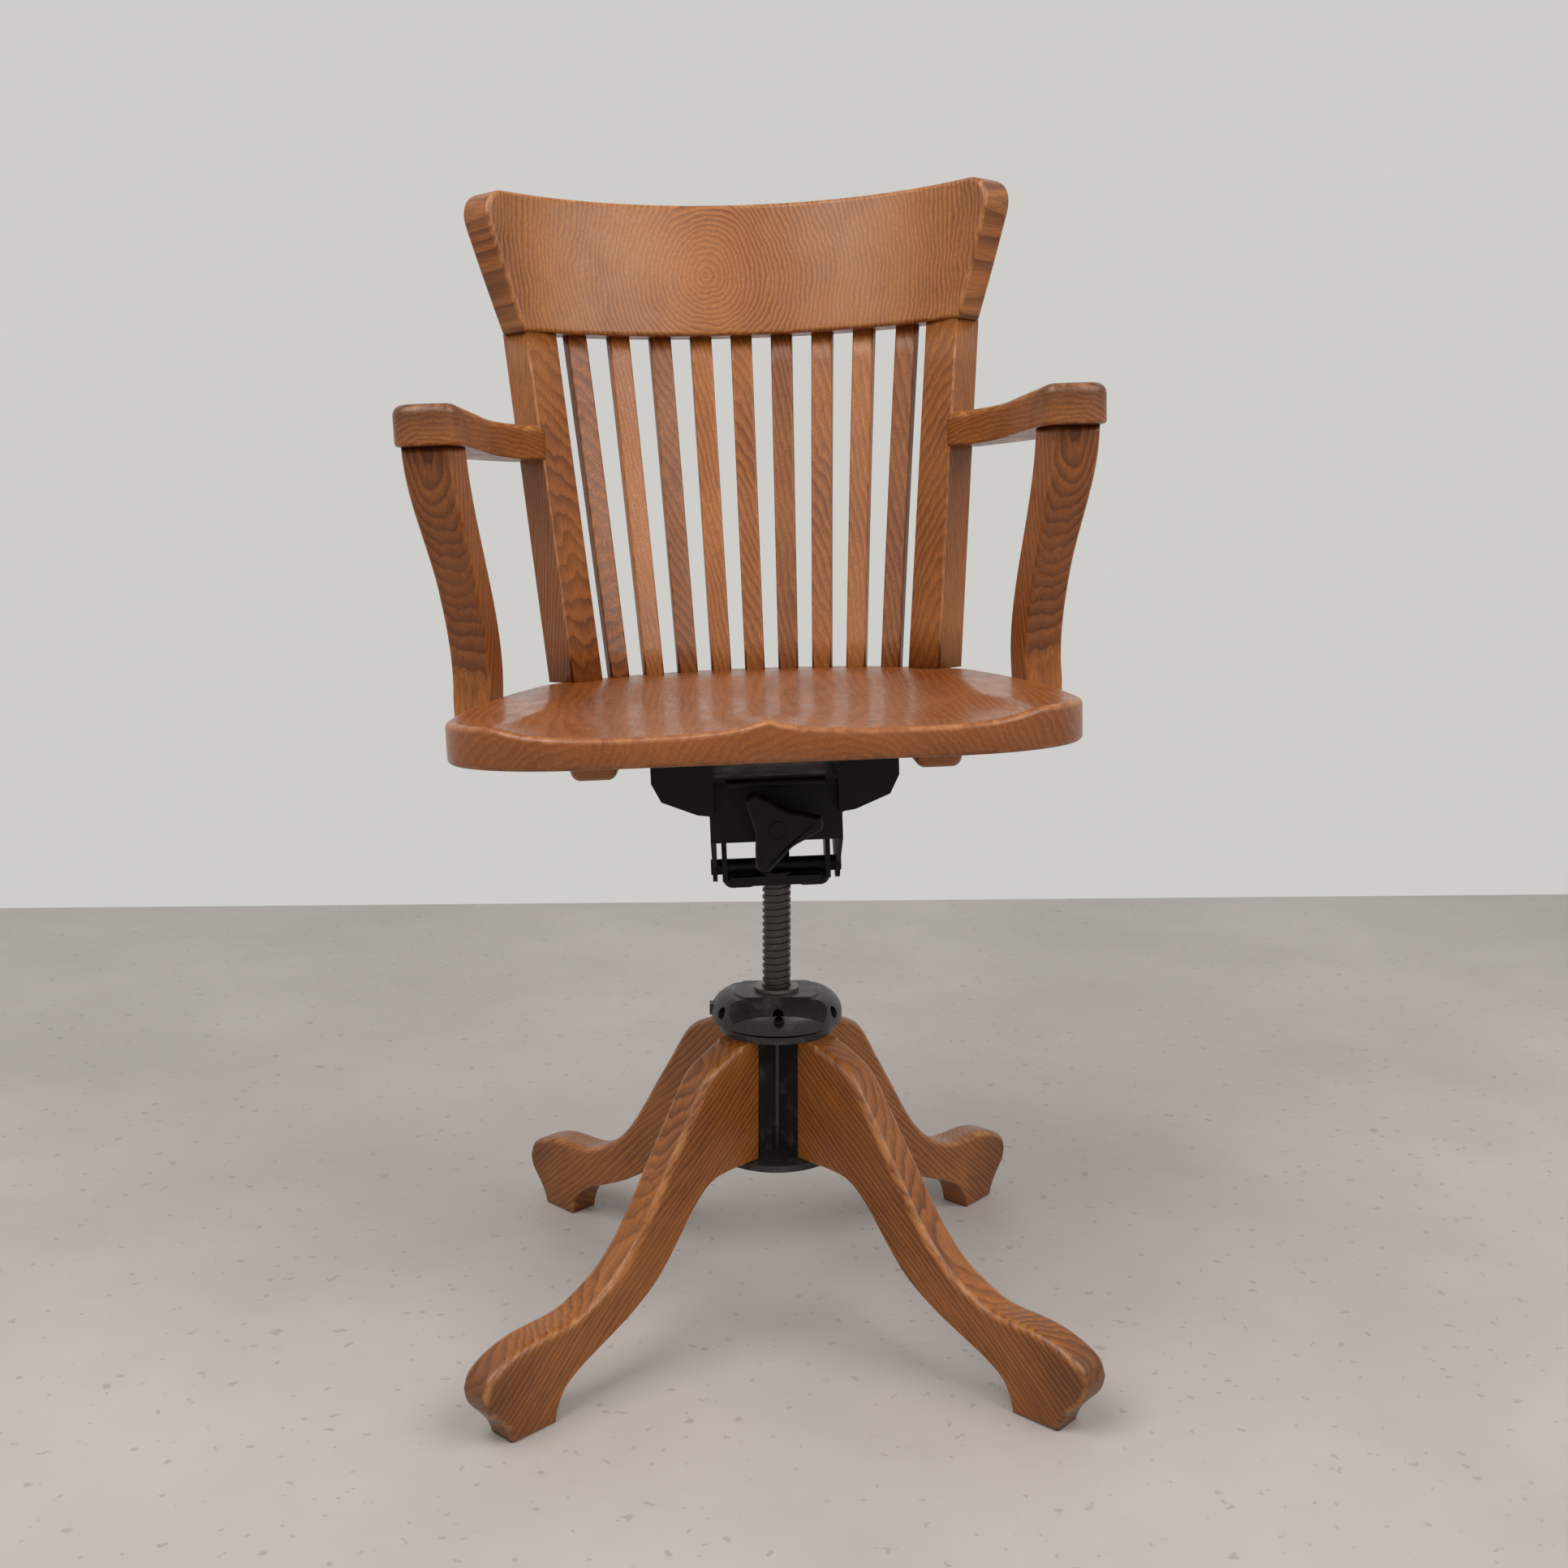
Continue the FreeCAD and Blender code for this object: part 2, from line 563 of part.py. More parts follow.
def build_head():
    centre_z = "flange_z + flange_thickness + ball_radius - race_depth"
    balls = []
    for i in range(int(size("ball_count"))):
        ball = doc.addObject("Part::Sphere", f"ball_{i}")
        bind(ball, "Radius", "ball_radius")
        angle = f"({i} * 360 deg / ball_count)"
        balls.append(place_by(ball, f"ball_circle * cos({angle})", f"ball_circle * sin({angle})", centre_z))
    keep(group("swivel_balls", balls), "swivel_balls")

    rim = size("dome_radius")
    top = size("dome_top_radius")
    bore = size("nut_radius")
    height = size("dome_height")
    wall = size("dome_wall")
    race_z = size("race_z")
    rim_height = size("dome_rim")
    over_race = race_z + size("race_thickness") + size("seat_gap")
    swell = 4.5
    mid_r = (rim + top) / 2 + swell
    mid_z = race_z + (rim_height + height) / 2 + swell * 0.6
    body = doc.addObject("PartDesign::Body", "dome_casting")
    sketch = sketch_on(body, "XZ_Plane", "dome_section")
    add_outline(sketch, [
        (bore, race_z + height),
        (top - 2.5, race_z + height),
        (top, race_z + height - 2),
        ((mid_r, mid_z), (rim, race_z + rim_height)),
        (rim, race_z),
        (rim - wall, race_z),
        (rim - wall, over_race),
        (size("facet_foot") - wall, over_race),
        (bore + 6, race_z + height - wall),
        (bore, race_z + height - wall),
    ])
    turn = body.newObject("PartDesign::Revolution", "dome_turned")
    turn.Profile = sketch
    turn.ReferenceAxis = (origin_part(body, "Z_Axis"), [""])
    turn.Angle = 360
    doc.recompute()

    # Flat sides in front and behind, six holes all round, and the lock bolt's hole on the left.
    tools = []
    low = Vector(size("facet_foot"), 0, race_z + size("facet_ledge"))
    high = Vector(size("facet_top"), 0, race_z + height)
    slope = math.degrees(math.atan2(low.x - high.x, high.z - low.z))
    for angle in (90, 270):
        tilt = Rotation(Y_AXIS, -slope)
        spin = Rotation(UP, angle)
        corner = low + tilt.multVec(Vector(0, -rim, 0))
        facet = box(
            f"facet_{angle}", "dome_radius", "2 * dome_radius", "dome_height * 2",
            str(spin.multVec(corner).x), str(spin.multVec(corner).y), str(corner.z), spin.multiply(tilt),
        )
        tools.append(facet)
    for angle in range(30, 360, 60):
        tools.append(cylinder(
            f"dome_hole_{angle}", "dome_hole_radius", "dome_radius + 5", z="race_z + dome_hole_rise",
            axis=Rotation(UP, angle).multVec(X_AXIS),
        ))
    for name, radius, start in (
        ("lock_hole", "lock_bolt_radius + running_gap", "-nut_radius"),
        ("lock_spot_face", "lock_head * 0.75", "-(dome_radius - 3.5)"),
    ):
        tools.append(cylinder(name, radius, "dome_radius", start, "0", "race_z + lock_rise", Vector(-1, 0, 0)))
    keep(cut("dome", body, tools), "dome")

    race = cylinder("race_ring", "dome_radius - dome_wall - running_gap", "race_thickness", z="race_z")
    race_tools = [
        cylinder("race_bore", "ball_circle - 9", "race_thickness", z="race_z"),
        ball_track("upper_track", centre_z),
    ]
    keep(cut("upper_race", race, race_tools), "upper_race")

    nut_z = "dome_top_z - nut_length"
    nut = cylinder("nut_sleeve", "nut_radius - running_gap", "nut_length", z=nut_z)
    nut_bore = cylinder("nut_bore", "screw_radius + running_gap", "nut_length", z=nut_z)
    keep(cut("height_nut", nut, [nut_bore]), "height_nut")

    # The lock bolt runs in along X from the viewer's left and ends in the column's groove.
    bolt_z = "race_z + lock_rise"
    tip_x = "-(column_radius - neck_groove + seat_gap)"
    shank_length = "dome_radius - 3 - (column_radius - neck_groove + seat_gap)"
    shank = cylinder("lock_shank", "lock_bolt_radius", shank_length, tip_x, "0", bolt_z, Vector(-1, 0, 0))
    head = box(
        "lock_head", "lock_head_thickness", "lock_head", "lock_head",
        "-(dome_radius - 3) - lock_head_thickness", "-lock_head / 2", f"{bolt_z} - lock_head / 2",
    )
    keep(fuse("lock_bolt", [shank, head]), "lock_bolt")

    washer = cylinder("washer_disc", "washer_radius", "washer_thickness", z="dome_top_z + seat_gap")
    washer_bore = cylinder("washer_bore", "screw_radius + 0.4", "washer_thickness", z="dome_top_z + seat_gap")
    keep(cut("thrust_washer", washer, [washer_bore]), "thrust_washer")


# height screw

def build_screw():
    """A core with one long helical ridge, and a plain journal that the yoke sits on."""
    pitch = size("thread_pitch")
    outer = size("screw_radius")
    core = outer - size("thread_depth")
    length = pitch * size("screw_turns")
    root_half = 0.30 * pitch
    crest_half = 0.22 * pitch
    sunk = core - 0.3
    ridge_profile = Part.makePolygon([
        Vector(sunk, 0, -root_half),
        Vector(outer, 0, -crest_half),
        Vector(outer, 0, crest_half),
        Vector(sunk, 0, root_half),
        Vector(sunk, 0, -root_half),
    ])
    spine = Part.Wire(Part.makeHelix(pitch, length, core))
    ridge = spine.makePipeShell([ridge_profile], True, True)
    # The yoke leans on the screw, so the shoulder stops just below the yoke's foot.
    shoulder = yoke_z - outer * math.sin(math.radians(size("side_lean")))
    top = shoulder - 2
    ridge.translate(Vector(0, 0, top - length - root_half))
    bottom = top - length - 2 * root_half - 6
    shaft = Part.makeCylinder(core, top - bottom, Vector(0, 0, bottom))
    collar = Part.makeCylinder(core, 2, Vector(0, 0, top))
    journal_top = yoke_z + size("rod_rise") - size("rod_radius") - 1.5
    journal = Part.makeCylinder(core - 2, journal_top - shoulder, Vector(0, 0, shoulder))
    shaft = shaft.fuse([ridge, collar, journal])
    keep(feature("height_screw", shaft), "height_screw")


# yoke and tilt rod, upright in their own frame, then leaned

def build_yoke():
    """A cross piece with a boss for the screw, two tall ears, and a swelling under each ear."""
    knuckle_z = "yoke_z + yoke_knuckle / 2"
    foot = box(
        "yoke_cross", "2 * (yoke_half_width - yoke_knuckle)", "yoke_depth", "yoke_foot",
        "-(yoke_half_width - yoke_knuckle)", "-yoke_depth / 2", "yoke_z",
    )
    boss = cylinder("yoke_boss", "screw_radius + 5", "yoke_foot + 3", z="yoke_z")
    parts = [foot, boss]
    tools = [
        cylinder("journal_hole", "screw_radius - thread_depth - 2 + 0.6", "yoke_foot + 9", z="yoke_z - 1"),
        cylinder("rod_hole", "rod_radius + running_gap", "2 * yoke_half_width + 4",
                 "-yoke_half_width - 2", "0", "rod_z", X_AXIS),
    ]
    for side, sign in SIDES:
        x = f"{sign} * (yoke_half_width - ear_thickness / 2) - ear_thickness / 2"
        web = box(
            f"ear_web_{side}", "ear_thickness", "2 * ear_radius", "rod_rise + ear_rise - yoke_knuckle / 2",
            x, "-ear_radius", knuckle_z,
        )
        inner = "(screw_radius + 12)"
        outer = "(yoke_half_width - yoke_knuckle)"
        swelling = cylinder(
            f"swelling_{side}", "yoke_knuckle", f"{outer} - {inner}",
            f"{sign} * ({outer} + {inner}) / 2 - ({outer} - {inner}) / 2", "0", knuckle_z, X_AXIS,
        )
        parts += [web, swelling]
        for place, reach in (("inner", inner), ("outer", outer)):
            end = doc.addObject("Part::Sphere", f"swelling_{side}_{place}_end")
            bind(end, "Radius", "yoke_knuckle")
            parts.append(place_by(end, f"{sign} * {reach}", "0", knuckle_z))
    tongue = box(
        "tongue_plate", "tongue_width", "tongue_thickness", "rod_rise + spring_z + cup_radius",
        "-tongue_width / 2", "tongue_y", "yoke_z",
    )
    tongue_foot = box(
        "tongue_foot", "tongue_width", "tongue_y + tongue_thickness - yoke_depth / 2 + 4", "yoke_foot",
        "-tongue_width / 2", "yoke_depth / 2 - 4", "yoke_z",
    )
    parts += [tongue, tongue_foot]
    solid = fuse("yoke_solid", parts)
    yoke = cut("yoke", solid, tools)
    keep(in_frame(yoke, LEANING), "yoke")

    # The rod's ends are burred over just outside the cheeks of the side irons.
    half = "(yoke_half_width + cheek_gap + plate + rod_end)"
    rod = cylinder("rod_bar", "rod_radius", f"2 * {half}", f"-{half}", "0", "rod_z", X_AXIS)
    keep(in_frame(group("tilt_rod", [rod]), LEANING), "tilt_rod")

    seat = cylinder(
        "rear_seat_disc", "cup_radius", "cup_thickness",
        "0", "tongue_y", "rod_z + spring_z", Vector(0, -1, 0),
    )
    spigot = cylinder(
        "rear_seat_spigot", "spring_radius - spring_wire - 2", "cup_thickness + 5",
        "0", "tongue_y", "rod_z + spring_z", Vector(0, -1, 0),
    )
    keep(in_frame(fuse("spring_rear_seat", [seat, spigot]), LEANING), "spring_rear_seat")


# seat iron: two pressed side irons and the spring box between them

def side_iron(side, sign):
    """A cheek down to the rod, with a front and a rear wing that carry pads under the seat."""
    seat_under = size("seat_z") - size("seat_thickness")
    x_in = size("yoke_half_width") + size("cheek_gap")
    front = -size("cheek_front")
    back = size("cheek_back")
    low = rod_z + size("box_low")
    reach = size("ear_radius") - 1
    name = "side_iron_" + side

    body = doc.addObject("PartDesign::Body", name + "_cheek")
    sketch = sketch_on(body, "YZ_Plane", name + "_cheek_outline")
    bind(sketch, "AttachmentOffset.Base.z",
         f"{sign} * (yoke_half_width + cheek_gap + plate / 2) - plate / 2")
    add_outline(sketch, [
        (front, seat_under),
        (front, low),
        (-reach, rod_z),
        ((0, rod_z - reach), (reach, rod_z)),
        (back - 26, low + 12),
        (back, seat_under - 24),
        (back, seat_under),
    ])
    pad(body, sketch, name + "_cheek_plate", "plate")

    parts = [body]
    x_out = size("wing_reach")
    for place, y in (("front", "-lip_forward"), ("rear", "rear_wing_y")):
        wing = doc.addObject("PartDesign::Body", f"{name}_{place}_wing")
        outline = sketch_on(wing, "XZ_Plane", f"{name}_{place}_wing_outline", f"-({y}) - plate")
        depth = low + size("wing_rise")
        corners = [
            (x_in, seat_under),
            (x_in, depth),
            (x_in + 14, depth + 2),
            (x_out - 8, depth + 14),
            (x_out, depth + 30),
            (x_out, seat_under),
        ]
        add_outline(outline, [(sign * x, z) for x, z in corners])
        pad(wing, outline, f"{name}_{place}_wing_plate", "plate")
        parts.append(wing)
        x = "yoke_half_width + cheek_gap" if sign > 0 else "-wing_reach - pad_lap"
        pad_y = y if place == "front" else f"{y} + plate - pad_depth"
        parts.append(box(
            f"{name}_{place}_pad", "wing_reach + pad_lap - yoke_half_width - cheek_gap", "pad_depth", "plate",
            x, pad_y, "seat_z - seat_thickness - plate",
        ))
    bridge_y = "-lip_forward"
    bridge_x = f"{sign} * (yoke_half_width + cheek_gap + plate / 2) - plate / 2"
    parts.append(box(
        name + "_bridge", "plate", "lip_forward - cheek_front + plate", "iron_height - box_low - wing_rise",
        bridge_x, bridge_y, "rod_z + box_low + wing_rise",
    ))
    iron = fuse(name + "_pressed", parts)
    tools = [cylinder(
        name + "_rod_hole", "rod_radius + running_gap", "plate + 4",
        f"{bridge_x} - 2", "0", "rod_z", X_AXIS,
    )]
    for x, y, tag in seat_bolt_places(sign):
        tools.append(cylinder(
            f"{name}_bolt_hole_{tag}", "bolt_radius + drill_gap", "plate + 4",
            x, y, "seat_z - seat_thickness - plate - 2",
        ))
    solid = cut(name, iron, tools)
    keep(in_frame(solid, IRON_FRAME), name)


def seat_bolt_places(sign):
    x = f"{sign} * (wing_reach - 14)"
    return [(x, "-lip_forward + pad_depth / 2", "front"), (x, "rear_wing_y + plate - pad_depth / 2", "rear")]


def build_iron():
    for side, sign in SIDES:
        side_iron(side, sign)

    # The spring box is a channel: front plate, two flanges, and a top with a rolled front lip.
    top_width = "(yoke_half_width + cheek_gap)"
    front = box(
        "box_front_plate", f"2 * {top_width}", "plate", "box_high - box_low",
        f"-{top_width}", "-box_front", "rod_z + box_low",
    )
    parts = [front]
    for side, sign in SIDES:
        x = f"{sign} * (box_half_width - plate / 2) - plate / 2"
        parts.append(box(
            f"box_flange_{side}", "plate", "box_front - ear_radius - 4", "box_high - box_low",
            x, "-box_front", "rod_z + box_low",
        ))
    parts.append(box(
        "box_top", f"2 * {top_width}", "lip_forward + cheek_back - 12", "plate",
        f"-{top_width}", "-lip_forward", "rod_z + box_high - plate",
    ))
    parts.append(cylinder(
        "box_lip", "lip_radius", "2 * box_half_width",
        "-box_half_width", "-lip_forward", "rod_z + box_high - plate - lip_radius + 2", X_AXIS,
    ))
    parts.append(cylinder(
        "plate_nut", "plate_nut_width / 2", "plate_nut_length",
        "0", "-box_front", "rod_z + spring_z", Vector(0, -1, 0),
    ))
    solid = fuse("spring_box_pressed", parts)
    bore = cylinder(
        "tension_bore", "knob_screw_radius + running_gap", "plate + plate_nut_length + 4",
        "0", "-box_front + plate + 2", "rod_z + spring_z", Vector(0, -1, 0),
    )
    slot = box(
        "tongue_slot", "tongue_width + 10", "tongue_thickness + 26", "plate + 6",
        "-tongue_width / 2 - 5", "tongue_y - 14", "rod_z + box_high - plate - 3",
    )
    keep(in_frame(cut("spring_box", solid, [bore, slot]), IRON_FRAME), "spring_box")

    bolts = []
    for side, sign in SIDES:
        for x, y, tag in seat_bolt_places(sign):
            z = "seat_z - seat_thickness - plate"
            shank = cylinder(f"seat_bolt_shank_{side}_{tag}", "bolt_radius", "plate + bolt_in_seat", x, y, z)
            head = cylinder(
                f"seat_bolt_head_{side}_{tag}", "bolt_head", "bolt_head_height", x, y, f"{z} - bolt_head_height",
            )
            bolts.append(fuse(f"seat_bolt_{side}_{tag}", [shank, head]))
    keep(in_frame(group("seat_bolts", bolts), IRON_FRAME), "seat_bolts")


# tension spring and star knob

def spring_span():
    """Front and rear ends of the spring along Y, between its two cups."""
    front = -size("box_front") + size("plate") + 1 + size("cup_thickness")
    rear = size("tongue_y") - size("cup_thickness")
    return front, rear


def arc_between(start, control, end):
    """The arc from start to end whose end tangents meet in control."""
    middle = (start + end) / 2
    half_chord = (end - start).Length / 2
    half_turn = math.acos(min(1.0, half_chord / (control - start).Length))
    sag = half_chord * math.tan(half_turn / 2)
    crown = middle + (control - middle).normalize() * sag
    return Part.Arc(start, crown, end).toShape()


def biarc(start, start_heading, end, end_heading):
    """Two arcs from start to end that meet smoothly and keep both headings."""
    chord = end - start
    both = chord.dot(start_heading + end_heading)
    spread = 2 * (1 - start_heading.dot(end_heading))
    reach = (math.sqrt(both ** 2 + spread * chord.dot(chord)) - both) / spread
    first_control = start + start_heading * reach
    second_control = end - end_heading * reach
    joint = (first_control + second_control) / 2
    return [arc_between(start, first_control, joint), arc_between(joint, second_control, end)]


def build_tension():
    axis_z = rod_z + size("spring_z")
    front, rear = spring_span()
    wire = size("spring_wire")
    radius = size("spring_radius")
    turns = size("spring_turns")
    first = front + wire + 0.3
    last = rear - wire - 0.9
    pitch = (last - first) / turns
    steps = int(turns * 4)
    rise = pitch / 4
    points = []
    headings = []
    for i in range(steps + 1):
        a = math.pi / 2 * i
        points.append(Vector(radius * math.cos(a), first + rise * i, axis_z + radius * math.sin(a)))
        heading = Vector(-radius * math.sin(a), rise / (math.pi / 2), radius * math.cos(a))
        headings.append(heading.normalize())
    edges = []
    for i in range(steps):
        edges += biarc(points[i], headings[i], points[i + 1], headings[i + 1])
    path = Part.Wire(edges)
    tangent = headings[0]
    ring = Part.Wire([Part.makeCircle(wire, points[0], tangent)])
    coil = path.makePipeShell([ring], True)
    keep(in_frame(feature("tension_spring", coil), IRON_FRAME), "tension_spring")
    around = [edge.valueAt(edge.FirstParameter) for edge in edges]
    one_turn = len(edges) // int(turns)
    apart = min(
        (p - q).Length for i, p in enumerate(around) for q in around[i + one_turn // 2:]
    )
    print("tension spring: least gap to itself", round(apart - 2 * wire, 2), "mm")

    cup_y = "-box_front + plate + 1"
    z = "rod_z + spring_z"
    cup = cylinder("cup_disc", "cup_radius", "cup_thickness", "0", cup_y, z, Y_AXIS)
    spigot = cylinder("cup_spigot", "spring_radius - spring_wire - 2", "cup_thickness + 5", "0", cup_y, z, Y_AXIS)
    keep(in_frame(fuse("spring_cup", [cup, spigot]), IRON_FRAME), "spring_cup")

    # The star knob turns on the box's nut and pushes the cup with the end of its screw.
    knob_y = "-(box_front + plate_nut_length + knob_stand)"
    screw = cylinder(
        "tension_screw", "knob_screw_radius", "plate_nut_length + knob_stand + knob_thickness + plate + 2.7",
        "0", cup_y + " - seat_gap", z, Vector(0, -1, 0),
    )
    hub = cylinder("knob_hub_disc", "knob_hub", "knob_thickness", "0", knob_y, z, Vector(0, -1, 0))
    star = star_body()
    keep(in_frame(fuse("star_knob", [hub, star, screw]), IRON_FRAME), "star_knob")


def star_body():
    """Three blunt lobes a third of a turn apart, with hollow flanks between them."""
    reach = size("knob_reach")
    hub = size("knob_hub")
    first_lobe = 7
    half_tip = 9
    corners = []
    for i in range(3):
        lobe = first_lobe + 120 * i
        tip_a = turned(lobe - half_tip, reach, 0)
        tip_m = turned(lobe, reach + 1.2, 0)
        tip_b = turned(lobe + half_tip, reach, 0)
        dip = turned(lobe + 60, size("knob_dip"), 0)
        next_a = turned(lobe + 120 - half_tip, reach, 0)
        if i == 0:
            corners.append(tip_a)
        corners.append((tip_m, tip_b))
        corners.append((dip, next_a))
    corners.pop()
    body = doc.addObject("PartDesign::Body", "knob_star")
    y = "(box_front + plate_nut_length + knob_stand)"
    sketch = sketch_on(body, "XZ_Plane", "knob_star_outline", y)
    axis_z = rod_z + size("spring_z")
    raised = []
    for step in corners:
        if isinstance(step[0], tuple):
            raised.append(tuple((x, z + axis_z) for x, z in step))
        else:
            raised.append((step[0], step[1] + axis_z))
    start = raised[0]
    here = Vector(*start, 0)
    for middle, end in raised[1:] + [((turned(first_lobe + 300, size("knob_dip"), 0)), start)]:
        if middle == turned(first_lobe + 300, size("knob_dip"), 0):
            middle = (middle[0], middle[1] + axis_z)
        there = Vector(*end, 0)
        sketch.addGeometry(Part.Arc(here, Vector(*middle, 0), there), False)
        here = there
    pad(body, sketch, "knob_star_plate", "knob_thickness")
    return body


# seat

def dish(x, y):
    """Depth of the saddle below the seat's flat rim, x and y from the seat's own middle."""
    front = -size("seat_front")
    back = size("dish_back")
    along = smooth((y - front) / size("dish_run"))
    half = size("dish_half_width") + (size("front_dish_half_width") - size("dish_half_width")) * (1 - along)
    across = max(0.0, 1 - (abs(x) / half) ** 6)
    deep = size("front_dish_depth") + (size("dish_depth") - size("front_dish_depth")) * along
    tail = 1 - smooth((y - back) / size("dish_run") + 1)
    ridge = math.exp(-abs(x) / size("pommel_width")) * (1 - smooth((y - front) / size("pommel_length")))
    return deep * across * tail * (1 - ridge)


def seat_outline(sketch):
    half = size("seat_half_width")
    front = -size("seat_front")
    back = size("seat_back")
    straight = size("seat_straight")
    corner = size("seat_corner")
    sx = size("shoulder_x")
    sy = size("shoulder_y")
    side_y = front + corner
    # side arcs leave the widest point square to the front edge
    side_r = ((half - sx) ** 2 + (sy - side_y) ** 2) / (2 * (half - sx))
    mid_y = (side_y + sy) / 2
    mid_x = half - side_r + math.sqrt(side_r ** 2 - (mid_y - side_y) ** 2)
    sketch.addGeometry(Part.LineSegment(Vector(-straight, front, 0), Vector(straight, front, 0)), False)
    for sign in (1, -1):
        centre = Vector(sign * straight, side_y, 0)
        long_way = half - straight
        if long_way >= corner:
            ellipse = Part.Ellipse(centre, long_way, corner)
        else:
            ellipse = Part.Ellipse(centre + Vector(0, corner, 0), centre + Vector(long_way, 0, 0), centre)
        span = (-math.pi / 2, 0) if sign > 0 else (math.pi, 3 * math.pi / 2)
        if long_way < corner:
            span = (span[0] - math.pi / 2, span[1] - math.pi / 2)
        sketch.addGeometry(Part.ArcOfEllipse(ellipse, *span), False)
        sketch.addGeometry(Part.Arc(
            Vector(sign * half, side_y, 0), Vector(sign * mid_x, mid_y, 0), Vector(sign * sx, sy, 0),
        ), False)
    sketch.addGeometry(Part.Arc(Vector(sx, sy, 0), Vector(0, back, 0), Vector(-sx, sy, 0)), False)


def seat_blank(name, low, height):
    """The seat's outline as a plain block; low and height are formulas."""
    body = doc.addObject("PartDesign::Body", name)
    sketch = sketch_on(body, "XY_Plane", name + "_outline", low)
    seat_outline(sketch)
    return body, pad(body, sketch, name + "_block", height)


def build_seat():
    body, block = seat_blank("seat_board", "seat_z - seat_thickness", "seat_thickness + 1")
    doc.recompute()
    low = seat_z - size("seat_thickness")

    def under_edge(edge):
        return abs(edge.BoundBox.ZMax - low) < 0.01

    round_edges(body, block, "seat_eased", edge_names(block.Shape, under_edge), "seat_round")

    # The saddle is a smooth surface through points of the depth formula; all above it is cut away.
    columns = 45
    rows = 33
    span_x = 2 * (size("seat_half_width") + 20)
    span_y = size("seat_front") + size("seat_back") + 40
    grid = []
    for i in range(columns):
        x = span_x * (i / (columns - 1) - 0.5)
        line = []
        for j in range(rows):
            y = -size("seat_front") - 20 + span_y * j / (rows - 1)
            line.append(Vector(x, y, seat_z - dish(x, y)))
        grid.append(line)
    surface = Part.BSplineSurface()
    surface.interpolate(grid)
    above = feature("saddle_cutter", surface.toShape().extrude(Vector(0, 0, 40)))

    tools = [above]
    for side, sign in SIDES:
        for x, y, tag in seat_bolt_places(sign):
            tools.append(cylinder(
                f"seat_hole_{side}_{tag}", "bolt_radius + drill_gap", "bolt_in_seat + 1.5",
                f"{x} - seat_shift", y, "seat_z - seat_thickness - 1",
            ))
    for side, sign in SIDES:
        for x, y, tag in cleat_screw_places(sign):
            tools.append(cylinder(
                f"seat_cleat_hole_{side}_{tag}", "wood_screw_radius + drill_gap", "18",
                x, y, "seat_z - seat_thickness - 1",
            ))
        tools.append(post_screw_drill(side, sign, "seat"))
    keep(in_frame(cut("seat", body, tools), WOOD_FRAME), "seat")


def cleat_screw_places(sign):
    x = f"{sign} * cleat_x"
    return [(x, "-cleat_front + 30", "front"), (x, "cleat_back - 30", "rear")]


def build_cleats():
    screws = []
    for side, sign in SIDES:
        name = "cleat_" + side
        body = doc.addObject("PartDesign::Body", name + "_bar")
        sketch = sketch_on(body, "YZ_Plane", name + "_side", f"{sign} * cleat_x")
        top = seat_z - size("seat_thickness")
        low = top - size("cleat_thickness")
        front = -size("cleat_front")
        back = size("cleat_back")
        nose = size("cleat_thickness") * 0.8
        add_outline(sketch, [
            (front, top),
            ((front + 0.3 * nose, low + 0.3 * nose), (front + nose, low)),
            (back - nose, low),
            ((back - 0.3 * nose, low + 0.3 * nose), (back, top)),
        ])
        bar = pad(body, sketch, name + "_block", "cleat_width", midplane=True)
        doc.recompute()

        def long_low_edge(edge, low=low):
            return edge.BoundBox.YLength > 100 and abs(edge.BoundBox.ZMax - low) < 0.01

        round_edges(body, bar, name + "_eased", edge_names(bar.Shape, long_low_edge), "cleat_thickness * 0.35")
        tools = []
        for x, y, tag in cleat_screw_places(sign):
            z = "seat_z - seat_thickness - cleat_thickness"
            tools.append(cylinder(
                f"{name}_drill_{tag}", "wood_screw_radius + drill_gap", "cleat_thickness", x, y, z,
            ))
            tools.append(cylinder(f"{name}_sink_{tag}", "wood_screw_head + drill_gap", "3", x, y, z))
            shank = cylinder(
                f"{name}_screw_shank_{tag}", "wood_screw_radius", "cleat_thickness + 12", x, y, f"{z} + 1",
            )
            head = cylinder(f"{name}_screw_head_{tag}", "wood_screw_head", "2.6", x, y, f"{z} + 0.4")
            screws.append(fuse(f"{name}_screw_{tag}", [shank, head]))
        keep(in_frame(cut(name, body, tools), WOOD_FRAME), name)
    keep(in_frame(group("cleat_screws", screws), WOOD_FRAME), "cleat_screws")


# back

WOOD_JOINT = 0.15


def stile_corners(sign, t):
    """Plan corners of a stile at a share t of its height."""
    x = size("stile_foot_x") + (size("stile_top_x") - size("stile_foot_x")) * t
    y = size("stile_foot_y") + (size("stile_top_y") - size("stile_foot_y")) * t
    turn = size("stile_turn")
    ax, ay = turned(180 - turn, size("stile_inner"), 0)
    bx, by = turned(90 - turn, size("stile_outer"), 0)
    corners = [(x, y), (x + bx, y + by), (x + ax + bx, y + ay + by), (x + ax, y + ay)]
    return [(sign * cx, cy) for cx, cy in corners]


def arc_point(apex, radius, x):
    """Y of a plan arc whose middle is furthest back."""
    return apex - radius + math.sqrt(radius ** 2 - x ** 2)


